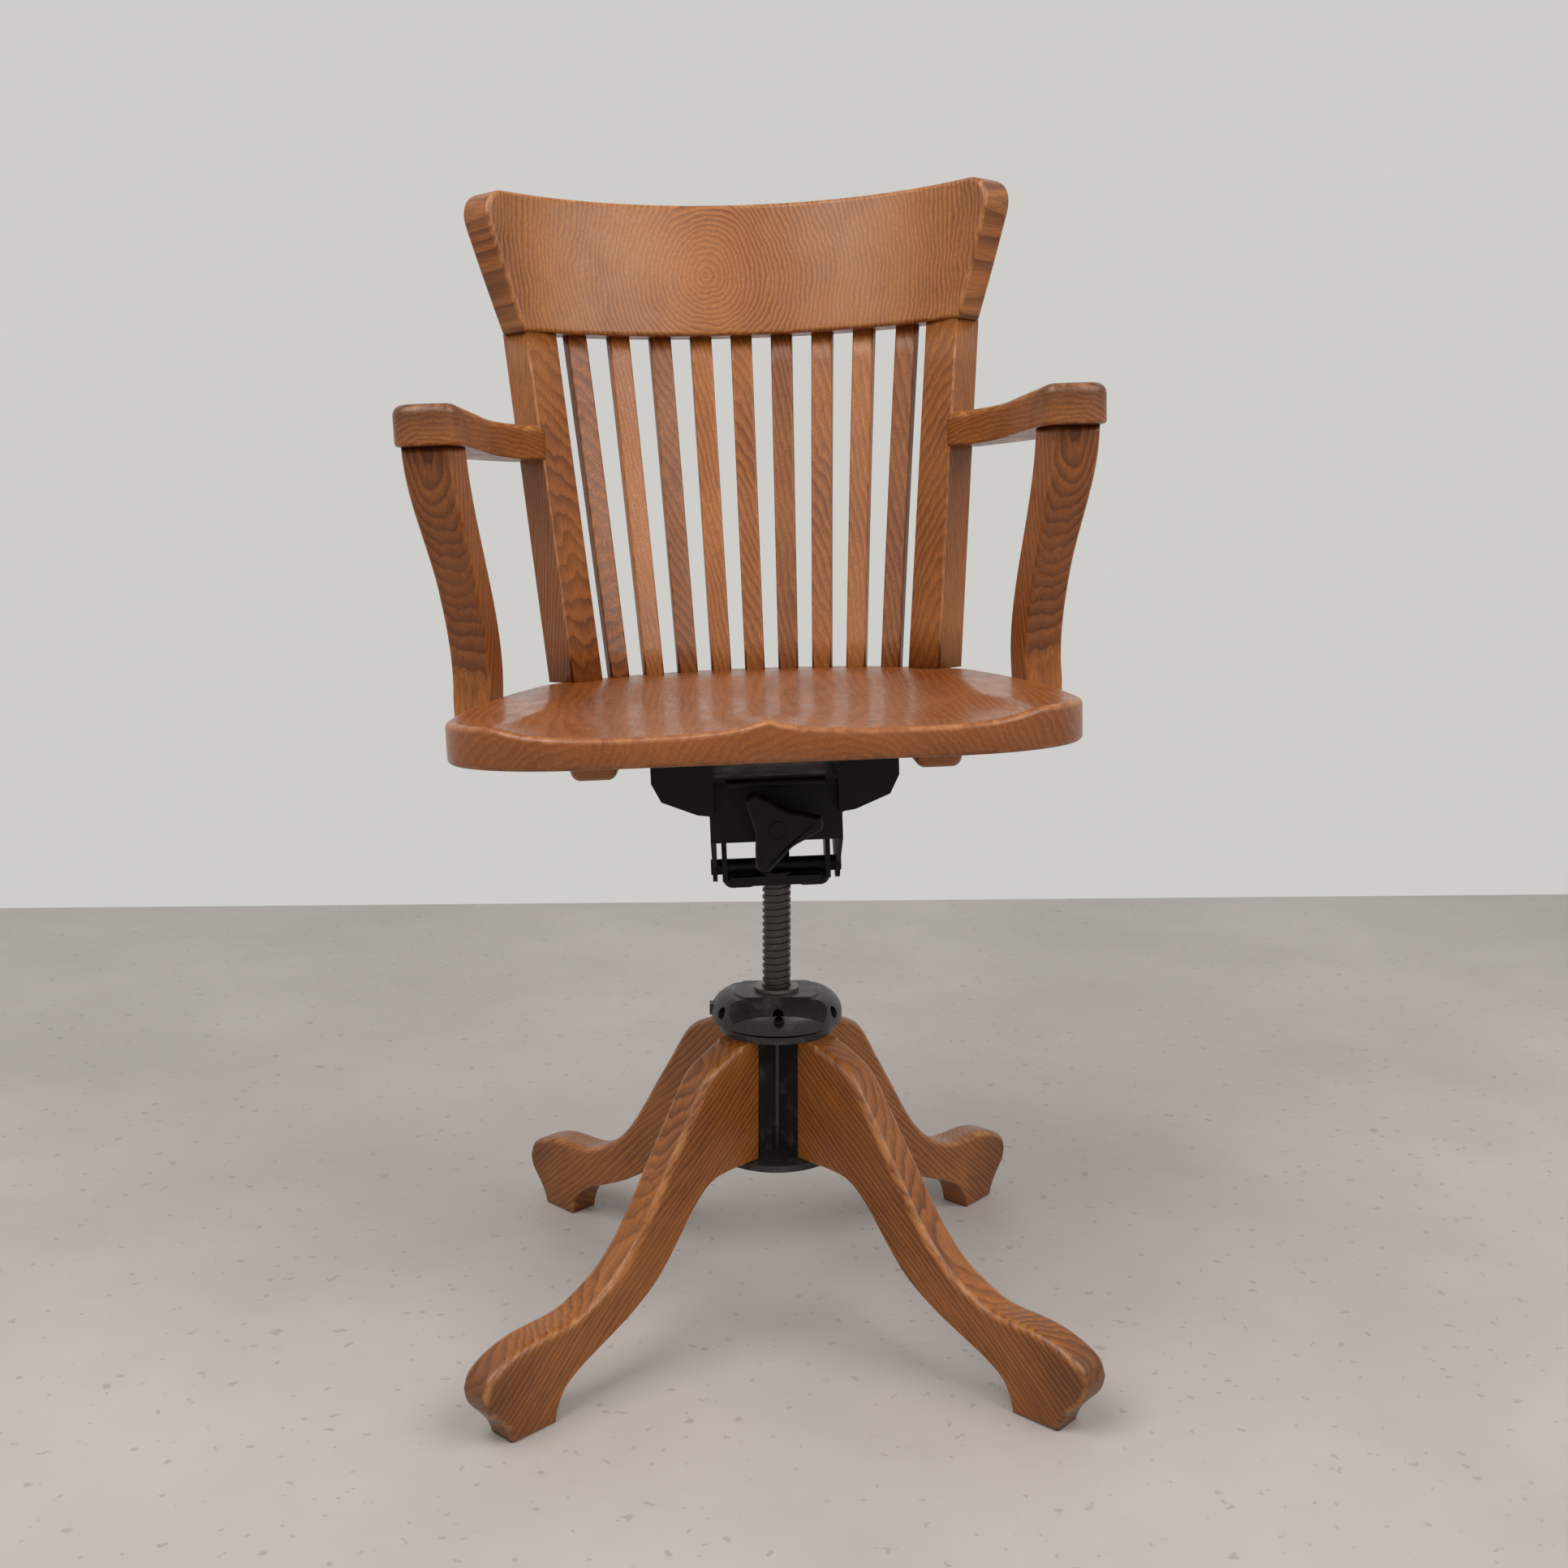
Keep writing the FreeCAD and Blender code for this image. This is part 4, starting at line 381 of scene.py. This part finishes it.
def metal(name, base, worn, roughness, most_roughness, wear_amount, specular=0.5, metallic=1.0):
    """Iron or steel, mottled, with a scatter of worn or greasy patches."""
    material = blank_material(name)
    tree = material.node_tree
    where = add(tree, "TexCoord").outputs["Object"]
    noise = []
    for size, detail in ((METAL_CLOUD, 5.0), (METAL_GRIT, 3.0)):
        inputs = {"Vector": where, "Scale": 1000 / size, "Detail": detail, "Roughness": 0.6}
        noise.append(add(tree, "TexNoise", inputs).outputs["Fac"])
    cloud, grit = noise
    skin = colour(base)
    for source, low, high, most in ((cloud, 0.55, 0.72, wear_amount), (grit, 0.4, 0.8, 0.35)):
        share = add(tree, "MapRange", {"Value": source, "From Min": low, "From Max": high, "To Max": most})
        skin = add(tree, "Mix", {0: share, 6: skin, 7: colour(worn)}, data_type="RGBA").outputs[2]
    rough = add(tree, "MapRange", {
        "Value": cloud, "From Min": 0.3, "From Max": 0.7, "To Min": roughness, "To Max": most_roughness,
    })
    bump = add(tree, "Bump", {"Height": grit, "Strength": 0.25, "Distance": 0.12 * MM})
    shader = add(tree, "BsdfPrincipled", {
        "Base Color": skin, "Roughness": rough, "Metallic": metallic, "Specular IOR Level": specular,
        "Normal": bump,
    })
    add(tree, "OutputMaterial", {"Surface": shader})
    return material


# sawn oak under satin varnish: orange brown with clear dark rings
OAK = oak("varnished oak", "#c98340", "#aa642c", "#582a10", 0.30, 4.2, 0.8)
# the crest rail's face is cut across the heart, so its rings run round a bullseye
CREST_OAK = oak("figured oak of the crest rail", "#c38449", "#ad6831", "#552810", 0.30, 4.8, 0.95)
# the seat is rubbed smoother than the rest, so it mirrors the room a little
SEAT_OAK = oak("oak seat board", "#ad6a38", "#985628", "#633216", 0.22, 6.0, 0.7)
# the legs are sawn along the grain, with strong close lines
LEG_OAK = oak("oak of the legs", "#c17a38", "#a15d25", "#4c240d", 0.28, 4.6, 0.9)
# black paint on the pressed steel under the seat, dull and a little dusty
BLACK_PAINT = metal(
    "worn black paint on pressed steel", "#070708", "#161514", 0.36, 0.55, 0.35, specular=0.22, metallic=0.0,
)
# oiled cast iron of the dome, column and plates, dark grey with lighter rubbed patches
DARK_IRON = metal("dark oiled cast iron", "#222122", "#59524c", 0.24, 0.46, 0.7, metallic=0.2)
# the height screw's cut thread under old grease, a warm dark grey
DARK_STEEL = metal("dark greasy steel", "#4a4644", "#7d746c", 0.30, 0.45, 0.5)
# the balls and the thrust washer, rubbed bright by use
BARE_STEEL = metal("worn bare steel", "#7c7771", "#a39b90", 0.30, 0.45, 0.5)


# seat

SEAT_HALF = 250
SEAT_FRONT = -235
SEAT_BACK = 250
STRAIGHT = 140
CORNER = 85
SHOULDER = Vector((206, 138))
SEAT_TOP_ROUND = 5
SEAT_UNDER_ROUND = 4
SEAT_JOINT_X = -134


def dish(x, y):
    """Depth of the saddle below the seat's flat rim: full behind the front edge, none at the slats."""
    rim_y = 196
    fade = 150
    ridge_width = 28
    ridge_length = 190
    along = smooth((y - SEAT_FRONT) / fade)
    half = blend(205, 178, along)
    across = max(0.0, 1 - (abs(x) / half) ** 6)
    deep = blend(10, 14, along)
    tail = 1 - smooth((y - rim_y) / fade + 1)
    ridge = math.exp(-abs(x) / ridge_width) * (1 - smooth((y - SEAT_FRONT) / ridge_length))
    return deep * across * tail * (1 - ridge)


def seat_outline():
    """The seat's plan, anticlockwise from the front middle."""
    side_y = SEAT_FRONT + CORNER
    right = [Vector((STRAIGHT * k / 20, SEAT_FRONT)) for k in range(20)]
    for k in range(20):
        a = math.pi / 2 * k / 20
        right.append(Vector((
            STRAIGHT + (SEAT_HALF - STRAIGHT) * math.sin(a), side_y - CORNER * math.cos(a),
        )))
    rise = SHOULDER.y - side_y
    inset = SEAT_HALF - SHOULDER.x
    side_r = (inset ** 2 + rise ** 2) / (2 * inset)
    for k in range(24):
        y = side_y + rise * k / 24
        right.append(Vector((SEAT_HALF - side_r + math.sqrt(side_r ** 2 - (y - side_y) ** 2), y)))
    depth = SEAT_BACK - SHOULDER.y
    back_r = (SHOULDER.x ** 2 + depth ** 2) / (2 * depth)
    spread = math.asin(SHOULDER.x / back_r)
    for k in range(25):
        a = spread * (1 - k / 24)
        right.append(Vector((back_r * math.sin(a), SEAT_BACK - back_r + back_r * math.cos(a))))
    left = [Vector((-p.x, p.y)) for p in reversed(right[1:-1])]
    return right + left


def seat_edge(outline, normals, radius, angle, level):
    """The outline drawn in for a rounded edge, at an angle from 0 on the flat to 90 degrees on the side."""
    a = math.radians(angle)
    inset = radius * (1 - math.sin(a))
    drop = radius * (1 - math.cos(a))
    points = []
    for p, n in zip(outline, normals):
        edge = p + n * radius
        points.append(Vector((*(p + n * inset), level(edge, drop))))
    return points, math.sin(2 * a)


def build_seat():
    outline = seat_outline()
    normals = inward(outline)
    centre = Vector((0, 10))
    low = SEAT_Z - SEAT_THICKNESS

    def grain(p):
        """Two boards, joined on the left, each with its own heart below it."""
        across, below = (118, 70) if p.x < SEAT_JOINT_X else (-40, 55)
        return Vector((p.y + 40, p.x + across, p.z - low + below - 0.06 * p.y))

    def tone(p):
        # the lower half of the edge and the underside are painted darker as shade; the middle is lighter and
        # the back darker
        side = smooth((SEAT_Z - 16 - p.z) / 6)
        back = smooth((p.y - 120) / 110)
        return 0.10 * smooth(1 - abs(p.x) / 200) - 0.16 * back - 0.28 * side

    def dished(edge, drop):
        return SEAT_Z - dish(edge.x, edge.y) - drop

    def flat(edge, drop):
        return low + drop

    # the top grows out from its middle in rings that lie closer towards the rim
    piece = Piece(WOOD_FRAME, grain, tone)
    ring_count = 44
    crowding = 0.85
    ring = None
    for k in range(1, ring_count + 1):
        share = (k / ring_count) ** crowding
        points = []
        for p, n in zip(outline, normals):
            q = centre + (p + n * SEAT_TOP_ROUND - centre) * share
            points.append(Vector((q.x, q.y, SEAT_Z - dish(q.x, q.y))))
        if ring is None:
            ring = piece.ring(points)
            middle = bmesh.ops.poke(piece.form, faces=piece.cap(ring))["verts"]
            piece.put(middle, [Vector((centre.x, centre.y, SEAT_Z - dish(centre.x, centre.y)))])
        else:
            ring = piece.grow(ring, points)
    for k in range(1, 5):
        points, wear_and_highlight = seat_edge(outline, normals, SEAT_TOP_ROUND, 90 * k / 4, dished)
        ring = piece.grow(ring, points, wear_and_highlight * 0.9)
    for k in range(4, -1, -1):
        points, wear_and_highlight = seat_edge(outline, normals, SEAT_UNDER_ROUND, 90 * k / 4, flat)
        ring = piece.grow(ring, points, wear_and_highlight * 0.6)
    piece.cap(ring)
    piece.make("seat_board", "seat_unit", ["seat"], SEAT_OAK)


# back

BACK_HEIGHT = 339
CREST_ARC = 300
CREST_Y = 300
CREST_HEIGHT = 134
CREST_THICKNESS = 36
CREST_RAKE = 11


def stile_corners(sign, t):
    """A stile's plan at a share of its height, its front ridge first."""
    turn = 47
    x = blend(177.4, 211, t)
    y = blend(150, 217, t)
    inner = turned(180 - turn, 40, 0)
    outer = turned(90 - turn, 36, 0)
    ridge = Vector((x, y))
    corners = [ridge, ridge + outer, ridge + outer + inner, ridge + inner]
    return [Vector((sign * c.x, c.y)) for c in corners]


def arc_y(apex, radius, x):
    """Y of a plan arc whose middle is furthest back."""
    return apex - radius + math.sqrt(radius ** 2 - x ** 2)


def slat_corners(index, t):
    """A slat's plan at a share of its height; index counts from the middle slat."""
    foot_pitch, top_pitch = 34.2, 42.2
    foot_arc, top_arc = 340, CREST_ARC + 20
    bow = 5
    x = index * blend(foot_pitch, top_pitch, t)
    foot_y = arc_y(231, foot_arc, index * foot_pitch)
    top_y = arc_y(CREST_Y + 20, top_arc, index * top_pitch)
    y = blend(foot_y, top_y, t) + bow * math.sin(math.pi * t)
    turn = -math.degrees(math.asin(x / blend(foot_arc, top_arc, t)))
    half_w = blend(20, 22, t) / 2
    half_t = 6
    corners = ((-half_w, -half_t), (half_w, -half_t), (half_w, half_t), (-half_w, half_t))
    return [Vector((x, y)) + turned(turn, *c) for c in corners]


SLAT_TONES = (-0.22, 0.12, -0.30, 0.05, -0.12, -0.34, -0.06, 0.14, -0.18)


def build_back():
    for side, sign in SIDES:
        def grain(p, sign=sign):
            return Vector((p.z, p.x - sign * 60, p.y + 40 * sign))

        def tone(p):
            # darker overall; painted shade darkens the top under the crest rail
            return -0.18 - 0.12 * smooth((p.z - SEAT_Z - 260) / 80)

        piece = Piece(WOOD_FRAME, grain, tone)
        sections = []
        for k in range(9):
            t = k / 8
            sections.append((SEAT_Z - 0.5 + (BACK_HEIGHT + 1) * t, stile_corners(sign, t)))
        bar(piece, sections, 2.5)
        piece.make(f"stile_{side}_bar", "seat_unit", [f"stile_{side}"], OAK)
    for i in range(9):
        index = i - 4
        offset = 37 * ((i * 5) % 9)

        def slat_grain(p, offset=offset):
            return Vector((p.z + 9 * offset, p.x * 0.8 + 70 + offset, p.y - 150 + 0.05 * p.z))

        piece = Piece(WOOD_FRAME, slat_grain, lambda p, i=i: SLAT_TONES[i])
        sections = []
        for k in range(13):
            t = k / 12
            sections.append((SEAT_Z - 0.5 + (BACK_HEIGHT + 1) * t, slat_corners(index, t)))
        bar(piece, sections, 2.2)
        piece.make(f"slat_{i + 1}_bar", "seat_unit", [f"slat_{i + 1}"], OAK)
    build_crest()


def build_crest():
    """The crest rail: a thick arc, raked back, flared to its top, with rounded upper corners."""
    low = SEAT_Z + BACK_HEIGHT
    foot_a = math.asin(212 / CREST_ARC)
    top_a = math.asin(245 / CREST_ARC)
    corner = 34
    ease = 4.5
    columns = 40
    levels = 26
    bullseye = Vector((-34, 62))

    def half_angle(h, inset):
        """Half the rail's angle at a height above its foot."""
        half = blend(foot_a, top_a, h / CREST_HEIGHT) * CREST_ARC - inset
        over = h - (CREST_HEIGHT - corner)
        if over > 0:
            radius = corner - inset
            half -= radius - math.sqrt(max(radius ** 2 - min(over, radius) ** 2, 0.0))
        return half / CREST_ARC

    def at(column, level, inset, depth):
        h = blend(inset, CREST_HEIGHT - inset, height_share(level))
        a = half_angle(h, inset) * (2 * column / columns - 1)
        back = h * math.tan(math.radians(CREST_RAKE))
        radius = CREST_ARC + depth
        return Vector((
            radius * math.sin(a), CREST_Y - CREST_ARC + back + radius * math.cos(a), low + h,
        ))

    def height_share(level):
        """Levels crowd together towards the top, where the corners turn."""
        return math.sin(math.pi / 2 * level / levels)

    def grain(p):
        along = math.atan2(p.x, p.y - CREST_Y + CREST_ARC) * CREST_ARC
        return Vector((p.y * 0.5, along - bullseye.x, (p.z - low - bullseye.y) * 0.8))

    def tone(p):
        return 0.10 - 0.30 * smooth((abs(p.x) - 190) / 60)

    piece = Piece(WOOD_FRAME, grain, tone)
    loop = [(i, 0) for i in range(columns)] + [(columns, j) for j in range(levels)]
    loop += [(columns - i, levels) for i in range(columns)] + [(0, levels - j) for j in range(levels)]

    def broad_face(depth):
        """The front or back as a grid; gives its border in order."""
        grid = bmesh.ops.create_grid(piece.form, x_segments=columns, y_segments=levels, size=1)["verts"]
        cells = {}
        for vert in grid:
            cells[(round((vert.co.x + 1) / 2 * columns), round((vert.co.y + 1) / 2 * levels))] = vert
        piece.put(cells.values(), [at(i, j, ease, depth) for i, j in cells])
        return [cells[cell] for cell in loop]

    # the edge grows back from the front face, rounded at both ends, and joins the back face
    steps = []
    for k in range(5):
        a = math.pi / 2 * k / 4
        steps.append((ease * (1 - math.sin(a)), ease * (1 - math.cos(a)), math.sin(2 * a)))
    steps += [(inset, CREST_THICKNESS - depth, wear_and_highlight) for inset, depth, wear_and_highlight in reversed(steps)]
    ring = broad_face(0)
    back = broad_face(CREST_THICKNESS)
    for inset, depth, wear_and_highlight in steps[1:]:
        ring = piece.grow(ring, [at(i, j, inset, depth) for i, j in loop], wear_and_highlight)
    bmesh.ops.weld_verts(piece.form, targetmap=dict(zip(ring, back)))
    piece.make("crest_rail_board", "seat_unit", ["crest_rail"], CREST_OAK)


# arms and posts

ARM_LOW = SEAT_Z + 214
ARM_THICKNESS = 33
ARM_OUTER = 288
ARM_INNER = 234
ARM_FRONT = -98
ARM_NOSE = 17


def post_corners(sign, t, width):
    waist = 3 * math.sin(math.pi * min(max(t, 0), 1) ** 0.8)
    x = blend(241, ARM_INNER + 10, smooth(t)) - waist
    y = blend(30, -84, smooth(t))
    corners = ((0, 0), (width, 0), (width, 38), (0, 38))
    placed = [Vector((x, y)) + turned(12, *c) for c in corners]
    return [Vector((sign * c.x, c.y)) for c in placed]


def build_posts():
    for side, sign in SIDES:
        def grain(p, sign=sign):
            return Vector((p.z, sign * p.x - 262, p.y * 0.55 + 62))

        def tone(p):
            # darker overall; painted shade darkens the top under the arm
            return -0.10 - 0.25 * smooth((p.z - ARM_LOW + 40) / 60)

        piece = Piece(WOOD_FRAME, grain, tone)
        sections = []
        for k in range(41):
            t = blend(-0.13, 1, k / 40)
            width = blend(35, 42, smooth((t - 0.45) / 0.5))
            sections.append((SEAT_Z + 214 * t, post_corners(sign, t, width)))
        bar(piece, sections, 3)
        piece.make(f"post_{side}_bar", "seat_unit", [f"post_{side}"], OAK)


def arm_outline(sign):
    t = 214 / BACK_HEIGHT
    ridge, back_outer = [Vector((abs(c.x), c.y)) for c in stile_corners(1, t)[:2]]
    outer = curve_through([
        (ARM_OUTER, ARM_FRONT + ARM_NOSE),
        (ARM_OUTER - 4, ARM_FRONT + 100),
        (ARM_OUTER - 13, 110),
        (ARM_OUTER - 36, 175),
        (back_outer.x + 6, back_outer.y + 3),
    ], 10)
    inner = curve_through([
        (ridge.x + 2, ridge.y + 14),
        (ridge.x - 2, ridge.y - 4),
        (ARM_INNER - 16, 150),
        (ARM_INNER - 4, 92),
        (ARM_INNER - 2, 20),
        (ARM_INNER, ARM_FRONT + ARM_NOSE),
    ], 10)
    inner_nose = ARM_NOSE * 0.7
    nose = []
    for k in range(7):
        a = math.pi / 2 * k / 6
        nose.append(Vector((
            ARM_INNER + inner_nose * (1 - math.cos(a)), ARM_FRONT + inner_nose * (1 - math.sin(a)),
        )))
    nose.append(Vector((blend(ARM_INNER, ARM_OUTER, 0.5), ARM_FRONT - 1)))
    for k in range(6):
        a = math.pi / 2 * k / 6
        nose.append(Vector((
            ARM_OUTER - ARM_NOSE * (1 - math.sin(a)), ARM_FRONT + ARM_NOSE * (1 - math.cos(a)),
        )))
    return [Vector((sign * p.x, p.y)) for p in outer + inner + nose]


def build_arms():
    for side, sign in SIDES:
        def grain(p, sign=sign):
            return Vector((p.y + 200, sign * p.x - 240 + 0.1 * p.y, p.z - ARM_LOW + 46))

        def tone(p):
            front = smooth((-30 - p.y) / 60)
            upper = smooth((p.z - ARM_LOW - 12) / 14)
            return -0.15 - 0.6 * front * upper

        piece = Piece(WOOD_FRAME, grain, tone)
        outline = arm_outline(sign)
        slab(
            piece, outline, ARM_LOW + 0.2, ARM_LOW + ARM_THICKNESS, 2.5, 8.5,
            lambda x, y, z: Vector((x, y, z)),
        )
        piece.make(f"arm_{side}_board", "seat_unit", [f"arm_{side}"], OAK)


# legs

LEG_TOP = (
    (40, 262), (48, 262), (62, 261), (77, 256), (102, 242), (127, 207), (151, 172), (167, 148), (186, 122),
    (209, 100), (237, 85), (257, 79), (297, 77), (322, 71), (340, 61), (346, 48),
)
LEG_TOE = ((346, 48), (342, 34), (332, 22), (324, 11), (320, 0))
LEG_UNDER = (
    (277, 0), (275, 8), (271, 18), (264, 27), (248, 37), (221, 49), (193, 62), (164, 81), (140, 107),
    (121, 130), (102, 146), (80, 151), (40, 151),
)


def leg_outline():
    top = curve_through(LEG_TOP, 5)
    toe = curve_through(LEG_TOE, 3)[1:]
    under = curve_through(LEG_UNDER, 5)
    outline = top + toe + under
    rounds = [6.5 if p.x > 60 else 1.0 for p in top] + [5.0] * len(toe) + [2.5] * len(under)
    return outline, rounds


def build_legs():
    legs = (("front_left", 225), ("front_right", 315), ("back_left", 135), ("back_right", 45))
    outline, rounds = leg_outline()
    for number, (side, azimuth) in enumerate(legs):
        offset = 90 * number

        def grain(p, offset=offset):
            along = p.x * 0.78 - p.z * 0.63
            across = p.x * 0.63 + p.z * 0.78
            return Vector((along + 5 * offset, across - 330 + 0.04 * along, p.y + 30 + offset * 0.1))

        def tone(p):
            toe = smooth((p.x - 300) / 40)
            return -0.10 - 0.5 * toe - 0.25 * smooth((14 - p.z) / 14)

        piece = Piece(Matrix.Rotation(math.radians(azimuth), 4, "Z"), grain, tone)
        slab(piece, outline, -16, 16, rounds, rounds, lambda r, z, t: Vector((r, t, z)))
        piece.make(f"leg_{side}_board", "base", [f"leg_{side}"], LEG_OAK)


# star knob

def star_outline():
    """Three blunt lobes a third of a turn apart, with hollow flanks between them."""
    outline = []
    for i in range(3):
        lobe = 7 + 120 * i
        for k in range(9):
            outline.append(turned(lobe + blend(-9, 9, k / 8), 36.5 + 1.2 * math.sin(math.pi * k / 8), 0))
        flank = [turned(lobe + 9, 36.5, 0), turned(lobe + 26, 25.5, 0), turned(lobe + 60, 19, 0)]
        flank += [turned(lobe + 94, 25.5, 0), turned(lobe + 111, 36.5, 0)]
        outline += curve_through(flank, 6)[1:-1]
    return outline


def build_knob():
    """The cast star with its dark boss, and the tension screw behind it."""
    box_front, nut_length, stand = 62, 8, 24
    front = -(box_front + nut_length + stand)
    axis_z = ROD_Z + 50

    def to_space(x, z, depth):
        return Vector((x, front - depth, axis_z + z))

    piece = Piece(IRON_FRAME, lambda p: p)
    slab(piece, star_outline(), 0, 12.5, 3.0, 4.5, to_space)
    lathe(piece, [(0.5, 8), (8, 8), (7.6, 12.9), (6.6, 12.9), (6, 11.6), (0.5, 11.2)], to_space)
    lathe(piece, [(0.5, -39), (6, -39), (6, 1), (0.5, 1)], to_space)
    piece.make("star_knob_casting", "knob", ["star_knob"], BLACK_PAINT)


build_seat()
build_back()
build_posts()
build_arms()
build_legs()
build_knob()

# carried-over metal pieces, with a small bevel where their edges are sharp

FINISHES = (
    (DARK_IRON, ("flange_screws", "plate_screws", "foot_plate", "leg_flange", "column", "dome", "lock_bolt",
                 "height_nut", "upper_race"), 0.0009),
    (DARK_STEEL, ("height_screw", "seat_bolts", "cleat_screws", "post_screws"), 0),
    (BARE_STEEL, ("swivel_balls", "thrust_washer"), 0),
    (BLACK_PAINT, ("yoke", "tilt_rod", "spring_rear_seat", "side_iron_left", "side_iron_right",
                   "spring_box", "tension_spring", "spring_cup"), 0.0007),
    (OAK, ("cleat_left", "cleat_right"), 0),
)
for material, names, bevel in FINISHES:
    for name in names:
        obj = nodes[name]
        obj.data.materials.clear()
        obj.data.materials.append(material)
        if bevel:
            softened = obj.modifiers.new("soft edges", "BEVEL")
            softened.width = bevel
            softened.segments = 2
            softened.limit_method = "ANGLE"
            softened.angle_limit = math.radians(35)
            softened.harden_normals = False

# stage: a pale floor that ends where the wall begins, soft light, pale background


def build_floor():
    """A pale painted floor, worn in clouds, with dark specks about 14 mm apart."""
    material = blank_material("pale worn floor")
    tree = material.node_tree
    where = add(tree, "TexCoord").outputs["Object"]
    cloud = add(tree, "TexNoise", {"Vector": where, "Scale": 2.5, "Detail": 5.0, "Roughness": 0.6})
    speck = add(tree, "TexNoise", {"Vector": where, "Scale": 70.0, "Detail": 2.0, "Roughness": 0.5})
    paint = colour("#b9b2ae")
    for source, low, high, most, layer in (
        (cloud, 0.35, 0.65, 1.0, "#aea7a3"), (speck, 0.66, 0.70, 0.5, "#8d857c"),
    ):
        share = add(tree, "MapRange", {"Value": source, "From Min": low, "From Max": high, "To Max": most})
        paint = add(tree, "Mix", {0: share, 6: paint, 7: colour(layer)}, data_type="RGBA").outputs[2]
    bump = add(tree, "Bump", {"Height": cloud, "Strength": 0.1, "Distance": MM})
    shader = add(tree, "BsdfPrincipled", {"Base Color": paint, "Roughness": 0.6, "Normal": bump})
    add(tree, "OutputMaterial", {"Surface": shader})
    mesh = bpy.data.meshes.new("floor")
    bm = bmesh.new()
    corners = ((-9, -9), (9, -9), (9, 1.53), (-9, 1.53))
    bm.faces.new([bm.verts.new((x, y, 0)) for x, y in corners])
    bm.to_mesh(mesh)
    bm.free()
    mesh.materials.append(material)
    floor = bpy.data.objects.new("floor", mesh)
    bpy.context.scene.collection.objects.link(floor)


def build_light():
    for name, place, target, size, power, tint in (
        ("window light", (-1.5, -1.3, 3.3), (0, 0, 0.5), 2.6, 80, (1.0, 0.99, 0.97)),
        ("room light", (1.9, -1.5, 2.7), (0, 0, 0.4), 2.6, 62, (1.0, 0.98, 0.95)),
    ):
        data = bpy.data.lights.new(name, "AREA")
        data.shape = "DISK"
        data.size = size
        data.energy = power
        data.color = tint
        lamp = bpy.data.objects.new(name, data)
        lamp.location = place
        lamp.rotation_euler = (Vector(target) - Vector(place)).to_track_quat("-Z", "Y").to_euler()
        bpy.context.scene.collection.objects.link(lamp)


def build_world():
    """A soft room light; the camera, metal and varnish see the wall's own colour."""
    world = bpy.data.worlds.new("pale room")
    world.use_nodes = True
    bpy.context.scene.world = world
    tree = world.node_tree
    tree.nodes.clear()
    path = add(tree, "LightPath").outputs
    seen = add(tree, "Math", {0: path["Is Camera Ray"], 1: path["Is Glossy Ray"]}, operation="MAXIMUM")
    seen = add(tree, "Math", {0: seen, 1: path["Is Transmission Ray"]}, operation="MAXIMUM")
    room = add(tree, "Background", {"Color": colour("#e6e5e2"), "Strength": 0.55})
    wall = add(tree, "Background", {"Color": colour("#cecdca")})
    mixed = add(tree, "MixShader", {0: seen, 1: room, 2: wall})
    add(tree, "OutputWorld", {"Surface": mixed})


def build_camera():
    """The camera that the photograph was taken with, as fitted to the legs, seat and floor line."""
    yaw, pitch, roll = 0.0396, -0.1703, 0.0007
    ahead = Vector((math.sin(yaw) * math.cos(pitch), math.cos(yaw) * math.cos(pitch), math.sin(pitch)))
    right = Vector((math.cos(yaw), -math.sin(yaw), 0))
    up = right.cross(ahead)
    across = right * math.cos(roll) + up * math.sin(roll)
    upward = up * math.cos(roll) - right * math.sin(roll)
    data = bpy.data.cameras.new("camera")
    data.lens = 37.27
    data.sensor_width = 36
    camera = bpy.data.objects.new("camera", data)
    axes = Matrix((across, upward, -ahead)).transposed().to_4x4()
    camera.matrix_world = Matrix.Translation((-0.0495, -1.4156, 0.7289)) @ axes
    bpy.context.scene.collection.objects.link(camera)
    bpy.context.scene.camera = camera


build_floor()
build_light()
build_world()
build_camera()
bpy.context.scene.view_settings.view_transform = "Standard"
